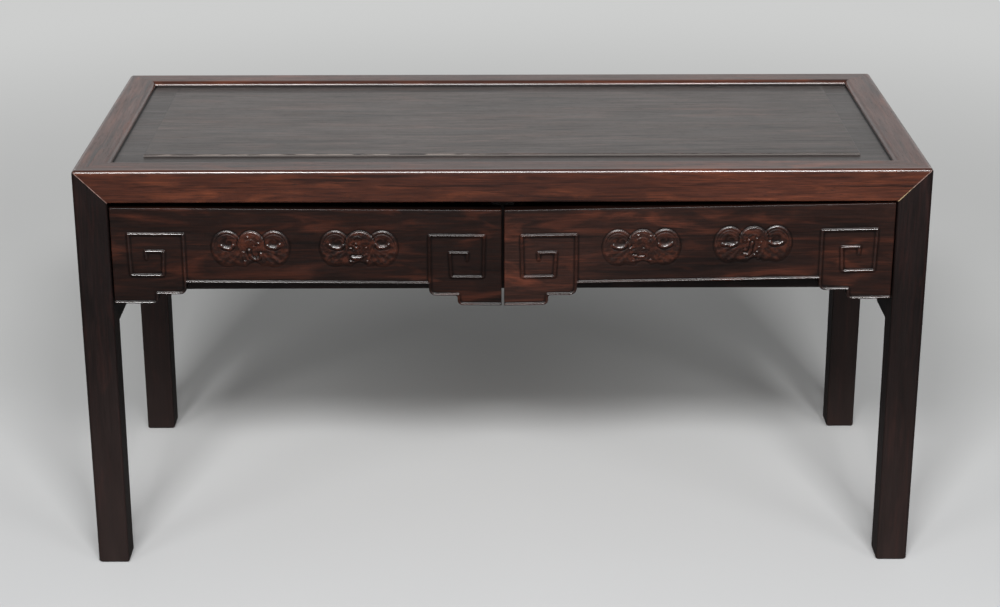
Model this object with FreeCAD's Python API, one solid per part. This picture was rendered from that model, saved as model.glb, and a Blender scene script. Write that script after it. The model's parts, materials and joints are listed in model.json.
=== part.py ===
import FreeCAD, Part
import math
import os

# A low hardwood kang table with two carved drawers, as its separate joined pieces.
# Millimetres. X runs along the width, Y from front to back, Z up.
# The origin lies on the floor under the middle of the table.

V = FreeCAD.Vector

# Whole table
TABLE_WIDTH = 960.0
TABLE_DEPTH = 432.0
TABLE_HEIGHT = 485.0

# Square members of the top frame and the legs
MEMBER = 38.0
LEG_FOOT_WIDTH = 36.0
OUTER_CORNER_RADIUS = 4.5
TOP_ARRIS_RADIUS = 4.5
INNER_ARRIS_RADIUS = 6.5
SMALL_ARRIS_RADIUS = 2.5
FOOT_BEVEL = 2.0

# Hidden joints
JOINT_CLEARANCE = 0.15
TENON_THICKNESS = 8.0
TENON_SETBACK = 8.0
CORNER_TENON_TOP = 12.0
CORNER_TENON_ROOT = 5.0
RAIL_TENON_TOP = 16.0
RAIL_TENON_HEIGHT = 10.0
RAIL_TENON_LENGTH = 16.0
RAIL_TENON_ROOT = 4.0

# Floating panel of the top
PANEL_DROP = 7.0
FIELD_RISE = 3.0
FIELD_ARRIS_RADIUS = 1.2
FIELD_INSET_AT_ENDS = 31.5
FIELD_INSET_FRONT_AND_BACK = 39.0
PANEL_THICKNESS = 14.0
PANEL_TONGUE = 6.0
PANEL_TONGUE_REACH = 8.0
PANEL_EXPANSION_GAP = 1.0
PANEL_REBATE_GAP = 2.0

# Dovetailed battens under the panel
BATTEN_WIDTH = 30.0
BATTEN_HEIGHT = 18.0
BATTEN_DOVETAIL_DEPTH = 5.0
BATTEN_DOVETAIL_NECK = 12.0
BATTEN_DOVETAIL_TOP = 18.0
BATTEN_DOVETAIL_INSET = 8.0
BATTEN_TENON_HEIGHT = 7.0
BATTEN_TENON_WIDTH = 18.0
BATTEN_TENON_LENGTH = 12.0
BATTEN_TENON_BELOW_PANEL = 1.0
BATTEN_SPACING = 260.0

# Drawer fronts, measured down from their top edge
DRAWER_TOP_GAP = 6.0
DRAWER_END_GAP = 1.0
DRAWER_MIDDLE_GAP = 3.0
FRONT_RECESS = 3.0
FRONT_THICKNESS = 20.0
FRONT_HEIGHT = 90.0
FRONT_SCROLL_DROP = 10.5
FRONT_STEP_DROP = 11.5
FRONT_SCROLL_WIDTH = 82.5
FRONT_STEP_WIDTH = 50.0
FRONT_FRET_TOP = 29.5

# Fixed aprons at the ends and the back, measured down from the top frame
APRON_RECESS = 14.0
APRON_THICKNESS = 20.0
APRON_HEIGHT = 129.0
APRON_SCROLL_DROP = 16.0
APRON_STEP_DROP = 15.0
APRON_SCROLL_WIDTH = 112.0
APRON_STEP_WIDTH = 78.0
APRON_FRET_TOP = 45.0
APRON_TONGUE = 6.0
APRON_TONGUE_HEIGHT = 6.0
APRON_TENON_DEPTH = 9.0
APRON_TENON_MARGIN = 12.0
APRON_TENON_SPLIT = 8.0

# Rounded corners of the stepped outlines
SCROLL_CORNER_RADIUS = 5.5
STEP_CORNER_RADIUS = 4.0
HOLLOW_CORNER_RADIUS = 3.0
FRONT_END_RADIUS = 1.0

# Raised bead of the key frets, and where its turns lie in the scroll
BEAD_WIDTH = 3.2
BEAD_RISE = 1.8
BEAD_ROOT = 0.5
BEAD_MARGIN = 0.4
BEAD_CROWN_SHARE = 0.4
CORNER_CUT_SHARE = 0.5
FRET_TURN_SHARES = (
    (1.0, 1.0),
    (0.25, 1.0),
    (0.25, 0.32),
    (0.72, 0.32),
    (0.72, 0.72),
    (0.465, 0.72),
    (0.465, 0.59),
)

# Low relief bats on the drawer fronts
BAT_OFFSET = 61.0
BAT_BELOW_TOP = 47.0
BAT_WING_RADIUS = 22.0
BAT_WING_OFFSET = 23.0
BAT_WING_RISE = 1.9
BAT_WING_CROWN = 13.0
BAT_EYE_RADIUS = 6.0
BAT_EYE_RAISE = 6.0
BAT_EYE_FLOOR = 0.3
BAT_BODY_RADIUS = 13.0
BAT_BODY_RAISE = 8.0
BAT_BODY_RISE = 2.4
BAT_SNOUT_RADIUS = 8.0
BAT_SNOUT_DROP = 11.0
BAT_SNOUT_RISE = 2.2
MOUND_SHARES = ((0, 1.0), (0.5, 1.0), (1.0, 0))

# Rail and stile behind the drawer fronts
LOWER_RAIL_HEIGHT = 20.0
LOWER_RAIL_THICKNESS = 14.0
LOWER_RAIL_SHOW = 14.0
LOWER_RAIL_TENON_LENGTH = 16.0
LOWER_RAIL_TENON_MARGIN = 4.0
STILE_WIDTH = 26.0
STILE_TENON_WIDTH = 18.0
STILE_TENON_LENGTH = 8.0
CLOSED_GAP = 0.3

# Runners and guide strips that carry the drawers
RUNNER_WIDTH = 28.0
CENTRE_RUNNER_WIDTH = 62.0
RUNNER_HEIGHT = 12.0
RUNNER_END_GAP = 0.5
RUNNER_STUB_LENGTH = 6.0
RUNNER_STUB_HEIGHT = 6.0
RUNNER_STUB_WIDTH = 10.0
GUIDE_HEIGHT = 12.0
GUIDE_END_GAP = 0.3

# Drawer boxes
RUNNING_CLEARANCE = 0.3
SIDE_CLEARANCE = 1.0
SIDE_THICKNESS = 12.0
SIDE_DROP = 5.0
BACK_THICKNESS = 12.0
BACK_DROP = 3.0
BACK_SPACE = 12.0
BOTTOM_THICKNESS = 6.0
BOTTOM_RAISE = 6.0
BOTTOM_GROOVE = 5.0
BOTTOM_CLEARANCE = 0.1
TAIL_COUNT = 3
TAIL_NECK = 13.0
TAIL_FLARE = 2.0
LAP_DEPTH = 13.0
HOUSING_DEPTH = 8.0
HOUSING_NECK = 5.0
HOUSING_FLARE = 1.5
HOUSING_STOP = 3.0

# How far a cutting shape runs past the surface that it opens
OVERRUN = 5.0

# Planes and levels that several pieces share
half_width = TABLE_WIDTH / 2
half_depth = TABLE_DEPTH / 2
frame_underside = TABLE_HEIGHT - MEMBER
opening_half_width = half_width - MEMBER
opening_half_depth = half_depth - MEMBER

margin_level = TABLE_HEIGHT - PANEL_DROP
field_level = margin_level + FIELD_RISE
panel_underside = field_level - PANEL_THICKNESS

front_top = frame_underside - DRAWER_TOP_GAP
front_middle_bottom = front_top - FRONT_HEIGHT
front_face = -half_depth + FRONT_RECESS
front_back = front_face + FRONT_THICKNESS
front_inner_end = DRAWER_MIDDLE_GAP / 2
front_outer_end = opening_half_width - DRAWER_END_GAP

lower_rail_bottom = front_middle_bottom - LOWER_RAIL_SHOW
lower_rail_top = lower_rail_bottom + LOWER_RAIL_HEIGHT
lower_rail_face = front_back + CLOSED_GAP
lower_rail_back = lower_rail_face + LOWER_RAIL_THICKNESS

apron_inner_half_width = half_width - APRON_RECESS - APRON_THICKNESS
apron_inner_half_depth = half_depth - APRON_RECESS - APRON_THICKNESS

side_bottom = lower_rail_top + RUNNING_CLEARANCE
side_top = front_top - SIDE_DROP
box_inner_end = STILE_WIDTH / 2 + SIDE_CLEARANCE
box_outer_end = front_outer_end
box_back = apron_inner_half_depth - BACK_SPACE
bottom_underside = side_bottom + BOTTOM_RAISE
bottom_top = bottom_underside + BOTTOM_THICKNESS


def block(x_from, x_to, y_from, y_to, z_from, z_to):
    """Rectangular block between pairs of planes."""
    size = (x_to - x_from, y_to - y_from, z_to - z_from)
    return Part.makeBox(size[0], size[1], size[2], V(x_from, y_from, z_from))


def centred_block(half_x, half_y, z_from, z_to):
    """Rectangular block round the vertical axis."""
    return block(-half_x, half_x, -half_y, half_y, z_from, z_to)


def prism(corners, along):
    """Straight prism on a flat polygon."""
    outline = Part.makePolygon(list(corners) + [corners[0]])
    return Part.Face(outline).extrude(along)


def flip_x(shape):
    """The same piece at the other end of the table."""
    return shape.mirror(V(0, 0, 0), V(1, 0, 0))


def flip_y(shape):
    """The same piece at the other side of the table."""
    return shape.mirror(V(0, 0, 0), V(0, 1, 0))


def turn_to_end(shape):
    """Turn a piece from the back of the table to its left end."""
    turned = shape.copy()
    turned.rotate(V(0, 0, 0), V(0, 0, 1), 90)
    return turned


def fused(shapes):
    """One solid from pieces that touch."""
    return shapes[0].multiFuse(shapes[1:]).removeSplitter()


def cut_all(shape, cutters):
    """Cut every hollow out of a piece."""
    for cutter in cutters:
        shape = shape.cut(cutter)
    return shape


def leg_width_at(height):
    """Width of a leg, whose inner faces taper from the frame to the foot."""
    share = height / frame_underside
    return LEG_FOOT_WIDTH + (MEMBER - LEG_FOOT_WIDTH) * share


def outer_envelope():
    """Outside of the table, with its rounded corners and rounded top arris."""
    body = centred_block(half_width, half_depth, 0, TABLE_HEIGHT)
    upright = [edge for edge in body.Edges if edge.tangentAt(edge.FirstParameter).z ** 2 > 0.5]
    body = body.makeFillet(OUTER_CORNER_RADIUS, upright)
    top = [edge for edge in body.Edges if edge.BoundBox.ZMin > TABLE_HEIGHT - TOP_ARRIS_RADIUS]
    return body.makeFillet(TOP_ARRIS_RADIUS, top)


def frame_inner_arris():
    """Space above the rounded arris that runs round the panel."""
    radius = INNER_ARRIS_RADIUS
    reach_x = opening_half_width + radius
    reach_y = opening_half_depth + radius
    space = centred_block(reach_x, reach_y, TABLE_HEIGHT - radius, TABLE_HEIGHT + OVERRUN)
    axis_level = TABLE_HEIGHT - radius
    rounds = []
    for side in (-1, 1):
        start = V(-half_width, side * reach_y, axis_level)
        rounds.append(Part.makeCylinder(radius, TABLE_WIDTH, start, V(1, 0, 0)))
        start = V(side * reach_x, -half_depth, axis_level)
        rounds.append(Part.makeCylinder(radius, TABLE_DEPTH, start, V(0, 1, 0)))
    return cut_all(space, rounds)


# The three members of a corner meet in a cube. Distances in it are counted from its outer
# corner: along the long rail, along the end rail, and down the leg.
CUBE_AXES = (V(1, 0, 0), V(0, 1, 0), V(0, 0, -1))
along_long_rail, along_end_rail, down_leg = range(len(CUBE_AXES))
OUTER_CORNER = V(-half_width, -half_depth, TABLE_HEIGHT)


def cube_block(low, high, grow=0.0):
    """Block in the corner cube, which a clearance may enlarge on every side."""
    return block(
        OUTER_CORNER.x + low[0] - grow,
        OUTER_CORNER.x + high[0] + grow,
        OUTER_CORNER.y + low[1] - grow,
        OUTER_CORNER.y + high[1] + grow,
        OUTER_CORNER.z - high[2] - grow,
        OUTER_CORNER.z - low[2] + grow,
    )


def cube_half(longer, shorter):
    """Half of the corner cube on one side of a mitre plane."""
    across = [axis for axis in range(len(CUBE_AXES)) if axis not in (longer, shorter)][0]
    reach = OUTER_CORNER + CUBE_AXES[longer] * MEMBER
    corners = (OUTER_CORNER, reach, reach + CUBE_AXES[shorter] * MEMBER)
    return prism(corners, CUBE_AXES[across] * MEMBER)


def mitred_tip(longest):
    """Four-sided point of a member in the corner cube."""
    others = [axis for axis in range(len(CUBE_AXES)) if axis != longest]
    return cube_half(longest, others[0]).common(cube_half(longest, others[1]))


def leg_tenon(into, grow=0.0):
    """Upright tenon of the leg that stands in one of the two rails."""
    near = TENON_SETBACK
    far = MEMBER - CORNER_TENON_ROOT
    low = [near, near, CORNER_TENON_TOP]
    high = [near + TENON_THICKNESS, near + TENON_THICKNESS, far]
    low[into] = far - TENON_THICKNESS
    high[into] = far
    return cube_block(low, high, grow)


def rail_tenon(grow=0.0):
    """Flat tenon of the long rail that runs into the end rail."""
    root = MEMBER - RAIL_TENON_ROOT
    beside = MEMBER - CORNER_TENON_ROOT
    low = (root - RAIL_TENON_LENGTH, beside - TENON_THICKNESS, RAIL_TENON_TOP)
    high = (root, beside, RAIL_TENON_TOP + RAIL_TENON_HEIGHT)
    return cube_block(low, high, grow)


def softened_bar(bar, edge_wanted):
    """Round the chosen long edges of a bar."""
    edges = [edge for edge in bar.Edges if edge_wanted(edge.CenterOfMass)]
    return bar.makeFillet(SMALL_ARRIS_RADIUS, edges)


def panel_groove():
    """Groove of the floating panel, cut through all four rails at once."""
    reach = PANEL_TONGUE_REACH + PANEL_EXPANSION_GAP
    low = margin_level - PANEL_TONGUE - JOINT_CLEARANCE
    high = margin_level + JOINT_CLEARANCE
    return centred_block(opening_half_width + reach, opening_half_depth + reach, low, high)


def apron_tongue(end, grow=0.0):
    """Tongue on top of the back row apron that ends at the given end, or its groove when grown."""
    reach = end - APRON_TENON_MARGIN + grow
    middle = half_depth - APRON_RECESS - APRON_THICKNESS / 2
    half = APRON_TONGUE / 2 + grow
    low = frame_underside - OVERRUN
    high = frame_underside + APRON_TONGUE_HEIGHT + grow
    return block(-reach, reach, middle - half, middle + half, low, high)


def batten_places():
    """Middle of each batten along the table."""
    return {
        "left": -BATTEN_SPACING,
        "centre": 0,
        "right": BATTEN_SPACING,
    }


def batten_tenons(middle, grow=0.0):
    """Both end tenons of a batten as one bar from rail to rail."""
    half = BATTEN_TENON_WIDTH / 2 + grow
    reach = opening_half_depth + BATTEN_TENON_LENGTH + grow
    high = panel_underside - BATTEN_TENON_BELOW_PANEL
    low = high - BATTEN_TENON_HEIGHT
    return block(middle - half, middle + half, -reach, reach, low - grow, high + grow)


def stile_tenons(grow=0.0):
    """Both end tenons of the stile as one bar from the top rail to the lower rail."""
    half = STILE_TENON_WIDTH / 2 + grow
    middle = (lower_rail_face + lower_rail_back) / 2
    half_y = TENON_THICKNESS / 2 + grow
    low = lower_rail_top - STILE_TENON_LENGTH - grow
    high = frame_underside + STILE_TENON_LENGTH + grow
    return block(-half, half, middle - half_y, middle + half_y, low, high)


def long_rail(is_front):
    """Long rail of the top frame, at the front of the table."""
    bar = block(
        -opening_half_width,
        opening_half_width,
        -half_depth,
        -opening_half_depth,
        frame_underside,
        TABLE_HEIGHT,
    )
    bar = softened_bar(bar, lambda at: abs(at.x) < MEMBER and at.z < TABLE_HEIGHT - MEMBER / 2)
    tip = mitred_tip(along_long_rail)
    rail = fused([bar, tip, flip_x(tip)])
    rail = rail.common(outer_envelope()).cut(frame_inner_arris())
    rail = fused([rail, rail_tenon(), flip_x(rail_tenon())])
    mortise = leg_tenon(along_long_rail, JOINT_CLEARANCE)
    cutters = [panel_groove(), mortise, flip_x(mortise)]
    cutters += [batten_tenons(middle, JOINT_CLEARANCE) for middle in batten_places().values()]
    if is_front:
        cutters.append(stile_tenons(JOINT_CLEARANCE))
        return cut_all(rail, cutters)
    cutters.append(flip_y(apron_tongue(opening_half_width, JOINT_CLEARANCE)))
    return flip_y(cut_all(rail, cutters))


def end_rail():
    """End rail of the top frame, at the left of the table."""
    bar = block(
        -half_width,
        -opening_half_width,
        -opening_half_depth,
        opening_half_depth,
        frame_underside,
        TABLE_HEIGHT,
    )
    bar = softened_bar(bar, lambda at: abs(at.y) < MEMBER and at.z < TABLE_HEIGHT - MEMBER / 2)
    tip = mitred_tip(along_end_rail)
    rail = fused([bar, tip, flip_y(tip)])
    rail = rail.common(outer_envelope()).cut(frame_inner_arris())
    mortises = [leg_tenon(along_end_rail, JOINT_CLEARANCE), rail_tenon(JOINT_CLEARANCE)]
    cutters = mortises + [flip_y(mortise) for mortise in mortises]
    return cut_all(rail, cutters + [panel_groove(), end_apron_tongue(JOINT_CLEARANCE)])


def top_panel():
    """Floating panel with a raised field, a tongue all round and dovetail grooves below."""
    tongue = centred_block(
        opening_half_width + PANEL_TONGUE_REACH,
        opening_half_depth + PANEL_TONGUE_REACH,
        margin_level - PANEL_TONGUE,
        margin_level,
    )
    underside = centred_block(
        opening_half_width - PANEL_REBATE_GAP,
        opening_half_depth - PANEL_REBATE_GAP,
        panel_underside,
        margin_level,
    )
    field = centred_block(
        opening_half_width - FIELD_INSET_AT_ENDS,
        opening_half_depth - FIELD_INSET_FRONT_AND_BACK,
        panel_underside,
        field_level,
    )
    rim = [edge for edge in field.Edges if edge.BoundBox.ZMin > margin_level]
    field = field.makeFillet(FIELD_ARRIS_RADIUS, rim)
    panel = fused([tongue, underside, field])
    slots = [batten_dovetail(middle, JOINT_CLEARANCE) for middle in batten_places().values()]
    return cut_all(panel, slots)


def batten_dovetail(middle, grow):
    """Dovetail along the top of a batten, or its slot in the panel when grown."""
    reach = opening_half_depth - BATTEN_DOVETAIL_INSET + grow
    neck = BATTEN_DOVETAIL_NECK / 2 + grow
    top = BATTEN_DOVETAIL_TOP / 2 + grow
    low = panel_underside - grow
    high = panel_underside + BATTEN_DOVETAIL_DEPTH + grow
    corners = (
        V(middle - neck, -reach, low),
        V(middle + neck, -reach, low),
        V(middle + top, -reach, high),
        V(middle - top, -reach, high),
    )
    return prism(corners, V(0, reach * 2, 0))


def panel_batten(middle):
    """Batten that keeps the panel flat and ties the two long rails."""
    half = BATTEN_WIDTH / 2
    low = panel_underside - BATTEN_HEIGHT
    span = opening_half_depth
    body = block(middle - half, middle + half, -span, span, low, panel_underside)
    return fused([body, batten_dovetail(middle, 0), batten_tenons(middle)])


def leg_post():
    """Tapered post of a leg below the frame, at the front left corner."""
    post = Part.makeWedge(
        -half_width,
        0,
        half_depth - LEG_FOOT_WIDTH,
        half_depth - MEMBER,
        -half_width,
        -half_width + LEG_FOOT_WIDTH,
        frame_underside,
        half_depth,
        half_depth,
        -half_width + MEMBER,
    )
    post.rotate(V(0, 0, 0), V(1, 0, 0), 90)
    middle = frame_underside / 2
    inner = []
    for edge in post.Edges:
        at = edge.CenterOfMass
        is_upright = abs(at.z - middle) < middle / 2
        is_outer = at.x < SMALL_ARRIS_RADIUS - half_width and at.y < SMALL_ARRIS_RADIUS - half_depth
        if is_upright and not is_outer:
            inner.append(edge)
    return post.makeFillet(SMALL_ARRIS_RADIUS, inner)


def leg(is_front):
    """Leg with its three-way mitred head, at the front left corner."""
    shape = fused([leg_post(), mitred_tip(down_leg)]).common(outer_envelope())
    sole = [edge for edge in shape.Edges if edge.BoundBox.ZMax < FOOT_BEVEL / 2]
    shape = shape.makeChamfer(FOOT_BEVEL, sole)
    shape = fused([shape, leg_tenon(along_long_rail), leg_tenon(along_end_rail)])
    mortises = end_apron_tenons(JOINT_CLEARANCE)
    if is_front:
        mortises.append(lower_rail_tenons(JOINT_CLEARANCE))
        return cut_all(shape, mortises)
    mortises += [flip_y(tenon) for tenon in back_apron_tenons(JOINT_CLEARANCE)]
    return flip_y(cut_all(shape, mortises))


def corner_arc(last, here, following, radius):
    """Start, crown and end of the arc that rounds one corner."""
    to_last = (last - here).normalize()
    to_next = (following - here).normalize()
    half_angle = to_last.getAngle(to_next) / 2
    setback = radius / math.tan(half_angle)
    toward_centre = (to_last + to_next).normalize()
    crown = here + toward_centre * (radius / math.sin(half_angle) - radius)
    return (here + to_last * setback, crown, here + to_next * setback)


def rounded_wire(corners):
    """Closed outline in the XZ plane through (x, z, radius) corners, sharp where the radius is 0."""
    points = [V(corner[0], 0, corner[1]) for corner in corners]
    count = len(points)
    turns = []
    for index, corner in enumerate(corners):
        here = points[index]
        if corner[2] == 0:
            turns.append((here, None, here))
            continue
        turns.append(corner_arc(points[index - 1], here, points[(index + 1) % count], corner[2]))
    edges = []
    for index, (start, crown, end) in enumerate(turns):
        if crown is not None:
            edges.append(Part.Arc(start, crown, end).toShape())
        edges.append(Part.LineSegment(end, turns[(index + 1) % count][0]).toShape())
    return Part.Wire(edges)


def stepped_corners(half_at, top, heights, widths, end_radius):
    """Corners of a board whose two ends drop in steps, as a pair of square scrolls does."""
    middle, scroll, step = heights
    scroll_width, step_width = widths
    right = [
        (half_at(top), top, end_radius),
        (half_at(step), step, end_radius),
        (half_at(top) - step_width, step, STEP_CORNER_RADIUS),
        (half_at(top) - step_width, scroll, HOLLOW_CORNER_RADIUS),
        (half_at(top) - scroll_width, scroll, SCROLL_CORNER_RADIUS),
        (half_at(top) - scroll_width, middle, HOLLOW_CORNER_RADIUS),
    ]
    left = [(-x, z, radius) for x, z, radius in reversed(right)]
    return right + left


def bead(corners, face):
    """Bead with a flat crown along a path of (x, z) corners on a board's front face."""
    points = [V(x, face, z) for x, z in corners]
    start = points[0]
    heading = (points[1] - start).normalize()
    aside = heading.cross(V(0, 1, 0)) * (BEAD_WIDTH / 2)
    proud = V(0, -BEAD_RISE, 0)
    sunk = V(0, BEAD_ROOT, 0)
    crown = aside * BEAD_CROWN_SHARE
    outline = [
        start - aside + sunk,
        start - aside,
        start - crown + proud,
        start + crown + proud,
        start + aside,
        start + aside + sunk,
    ]
    profile = Part.makePolygon(outline + [outline[0]])
    return Part.makePolygon(points).makePipeShell([profile], True, False, 1)


def fret_beads(half_length, heights, widths, fret_top, face):
    """Key fret in the left scroll of a board, run on along the stepped lower edge."""
    middle, scroll, step = heights
    scroll_width, step_width = widths
    inset = BEAD_MARGIN + BEAD_WIDTH / 2
    step_cut = STEP_CORNER_RADIUS * CORNER_CUT_SHARE
    scroll_cut = SCROLL_CORNER_RADIUS * CORNER_CUT_SHARE
    step_side = -half_length + step_width - inset
    scroll_side = -half_length + scroll_width - inset
    step_line = step + inset
    scroll_line = scroll + inset
    fret_height = fret_top - scroll_line
    path = [
        (-half_length + inset, step_line),
        (step_side - step_cut, step_line),
        (step_side, step_line + step_cut),
        (step_side, scroll_line),
        (scroll_side - scroll_cut, scroll_line),
        (scroll_side, scroll_line + scroll_cut),
    ]
    for across_share, up_share in FRET_TURN_SHARES:
        across = (scroll_width - inset) * across_share
        path.append((-half_length + across, scroll_line + fret_height * up_share))
    left = bead(path, face)
    edge = [(scroll_side, middle + inset), (-scroll_side, middle + inset)]
    return [left, flip_x(left), bead(edge, face)]


def turned(profile, x, z, face):
    """Round relief from (distance from the middle, rise) points, closed behind the face."""
    points = [V(distance, -rise, 0) for distance, rise in profile]
    radius = points[-1].x
    corners = points + [V(radius, BEAD_ROOT, 0), V(0, BEAD_ROOT, 0), points[0]]
    solid = Part.Face(Part.makePolygon(corners)).revolve(V(0, 0, 0), V(0, 1, 0), 360)
    solid.translate(V(x, face, z))
    return solid


def mound(x, z, face, radius, rise):
    """Low rounded mound that stands out of a board's face."""
    profile = [(radius * distance, rise * height) for distance, height in MOUND_SHARES]
    return turned(profile, x, z, face)


def bat_wing(x, z, face):
    """Low mound with a hollow eye in its flat crown."""
    profile = [(0, BAT_WING_RISE), (BAT_WING_CROWN, BAT_WING_RISE), (BAT_WING_RADIUS, 0)]
    floor = V(x, face - BAT_EYE_FLOOR, z + BAT_EYE_RAISE)
    eye = Part.makeCylinder(BAT_EYE_RADIUS, BAT_WING_RISE, floor, V(0, -1, 0))
    return turned(profile, x, z, face).cut(eye)


def bat(x, z, face):
    """Bat in low relief: two round wings with hollow eyes, a head and a snout."""
    return fused([
        mound(x, z + BAT_BODY_RAISE, face, BAT_BODY_RADIUS, BAT_BODY_RISE),
        mound(x, z - BAT_SNOUT_DROP, face, BAT_SNOUT_RADIUS, BAT_SNOUT_RISE),
        bat_wing(x - BAT_WING_OFFSET, z, face),
        bat_wing(x + BAT_WING_OFFSET, z, face),
    ])


def front_heights():
    """Levels of the middle, the scrolls and the lowest steps of a drawer front."""
    middle = front_middle_bottom
    return (middle, middle - FRONT_SCROLL_DROP, middle - FRONT_SCROLL_DROP - FRONT_STEP_DROP)


def side_tails(x_from, x_to, y_from, y_to, grow=0.0):
    """Dovetails along the end of a drawer side that widen from y_from to y_to."""
    low = bottom_top
    high = side_top
    pitch = (high - low) / TAIL_COUNT
    direction = 1 if y_to > y_from else -1
    tails = []
    for index in range(TAIL_COUNT):
        middle = low + pitch * (index + 0.5)
        neck = TAIL_NECK / 2 + grow
        tip = neck + TAIL_FLARE
        end = y_to + direction * grow
        corners = (
            V(x_from - grow, y_from, middle - neck),
            V(x_from - grow, end, middle - tip),
            V(x_from - grow, end, middle + tip),
            V(x_from - grow, y_from, middle + neck),
        )
        tails.append(prism(corners, V(x_to - x_from + grow * 2, 0, 0)))
    return tails


def housing_tongue(grow=0.0):
    """Dovetail tongue of the inner drawer side, which slides down into the drawer front."""
    middle = box_inner_end + SIDE_THICKNESS / 2
    neck = HOUSING_NECK / 2 + grow
    tip = neck + HOUSING_FLARE
    low = side_bottom + HOUSING_STOP - grow
    end = front_back - HOUSING_DEPTH - grow
    corners = (
        V(middle - neck, front_back, low),
        V(middle - tip, end, low),
        V(middle + tip, end, low),
        V(middle + neck, front_back, low),
    )
    return prism(corners, V(0, 0, side_top - low))


def bottom_board(grow=0.0):
    """Bottom board of the right drawer, or the grooves that it slides into when grown."""
    return block(
        box_inner_end + SIDE_THICKNESS - BOTTOM_GROOVE - grow,
        box_outer_end - SIDE_THICKNESS + BOTTOM_GROOVE + grow,
        front_back - BOTTOM_GROOVE - grow,
        box_back,
        bottom_underside - grow,
        bottom_top + grow,
    )


def drawer_front():
    """Carved front of the right drawer."""
    half_length = (front_outer_end - front_inner_end) / 2
    heights = front_heights()
    widths = (FRONT_SCROLL_WIDTH, FRONT_STEP_WIDTH)
    corners = stepped_corners(lambda level: half_length, front_top, heights, widths, FRONT_END_RADIUS)
    board = Part.Face(rounded_wire(corners)).extrude(V(0, FRONT_THICKNESS, 0))
    board.translate(V(0, front_face, 0))
    reliefs = fret_beads(half_length, heights, widths, front_top - FRONT_FRET_TOP, front_face)
    for side in (-1, 1):
        reliefs.append(bat(side * BAT_OFFSET, front_top - BAT_BELOW_TOP, front_face))
    board = fused([board] + reliefs)
    board.translate(V(front_inner_end + half_length, 0, 0))
    outer = box_outer_end - SIDE_THICKNESS
    tail_end = front_back - LAP_DEPTH
    sockets = side_tails(outer, box_outer_end, front_back, tail_end, JOINT_CLEARANCE)
    housing = housing_tongue(JOINT_CLEARANCE)
    housing = fused([housing, open_to_top(housing)])
    return cut_all(board, sockets + [housing, bottom_board(BOTTOM_CLEARANCE)])


def open_to_top(housing):
    """The same housing moved up, so that the tongue can slide in from above."""
    raised = housing.copy()
    raised.translate(V(0, 0, SIDE_DROP + OVERRUN))
    return raised


def drawer_side(x_from, x_to):
    """Side board of the right drawer between its front and its back, with tails behind."""
    board = block(x_from, x_to, front_back, box_back - BACK_THICKNESS, side_bottom, side_top)
    heel = block(x_from, x_to, front_back, box_back, side_bottom, bottom_top)
    tails = side_tails(x_from, x_to, box_back - BACK_THICKNESS, box_back)
    return fused([board, heel] + tails)


def outer_side():
    """Drawer side beside the leg, lapped to the front with dovetails."""
    x_from = box_outer_end - SIDE_THICKNESS
    laps = side_tails(x_from, box_outer_end, front_back, front_back - LAP_DEPTH)
    side = fused([drawer_side(x_from, box_outer_end)] + laps)
    return side.cut(bottom_board(BOTTOM_CLEARANCE))


def inner_side():
    """Drawer side beside the stile, housed in the front."""
    side = drawer_side(box_inner_end, box_inner_end + SIDE_THICKNESS)
    side = fused([side, housing_tongue()])
    return side.cut(bottom_board(BOTTOM_CLEARANCE))


def drawer_back():
    """Back board of the right drawer, between the tails of both sides."""
    low = bottom_top + BOTTOM_CLEARANCE
    high = side_top - BACK_DROP
    y_from = box_back - BACK_THICKNESS
    board = block(box_inner_end, box_outer_end, y_from, box_back, low, high)
    cutters = []
    for x_from in (box_inner_end, box_outer_end - SIDE_THICKNESS):
        x_to = x_from + SIDE_THICKNESS
        cutters += side_tails(x_from, x_to, y_from, box_back, JOINT_CLEARANCE)
    return cut_all(board, cutters)


def lower_rail_tenons(grow=0.0):
    """Both end tenons of the lower front rail as one bar from leg to leg."""
    reach = half_width - leg_width_at(lower_rail_top) + LOWER_RAIL_TENON_LENGTH + grow
    middle = (lower_rail_face + lower_rail_back) / 2
    half = TENON_THICKNESS / 2 + grow
    low = lower_rail_bottom + LOWER_RAIL_TENON_MARGIN - grow
    high = lower_rail_top - LOWER_RAIL_TENON_MARGIN + grow
    return block(-reach, reach, middle - half, middle + half, low, high)


def front_lower_rail():
    """Rail behind the drawer fronts, which also stops the closed drawers."""
    reach = half_width - leg_width_at(lower_rail_top)
    rail = block(
        -reach,
        reach,
        lower_rail_face,
        lower_rail_back,
        lower_rail_bottom,
        lower_rail_top,
    )
    rail = fused([rail, lower_rail_tenons()])
    return cut_all(rail, [stile_tenons(JOINT_CLEARANCE)] + runner_stubs(JOINT_CLEARANCE))


def centre_stile():
    """Short stile between the drawers, from the lower rail to the top rail."""
    half = STILE_WIDTH / 2
    body = block(-half, half, lower_rail_face, lower_rail_back, lower_rail_top, frame_underside)
    return fused([body, stile_tenons()])


def apron_heights():
    """Levels of the middle, the scrolls and the lowest steps of an apron."""
    middle = frame_underside - APRON_HEIGHT
    return (middle, middle - APRON_SCROLL_DROP, middle - APRON_SCROLL_DROP - APRON_STEP_DROP)


def apron_tenon_spans():
    """Levels between which the two tenons at each end of an apron lie."""
    lowest = apron_heights()[2] + APRON_TENON_MARGIN
    highest = frame_underside - APRON_TENON_MARGIN
    return (
        (lowest, lower_rail_bottom - APRON_TENON_SPLIT),
        (lower_rail_top + APRON_TENON_SPLIT, highest),
    )


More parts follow.
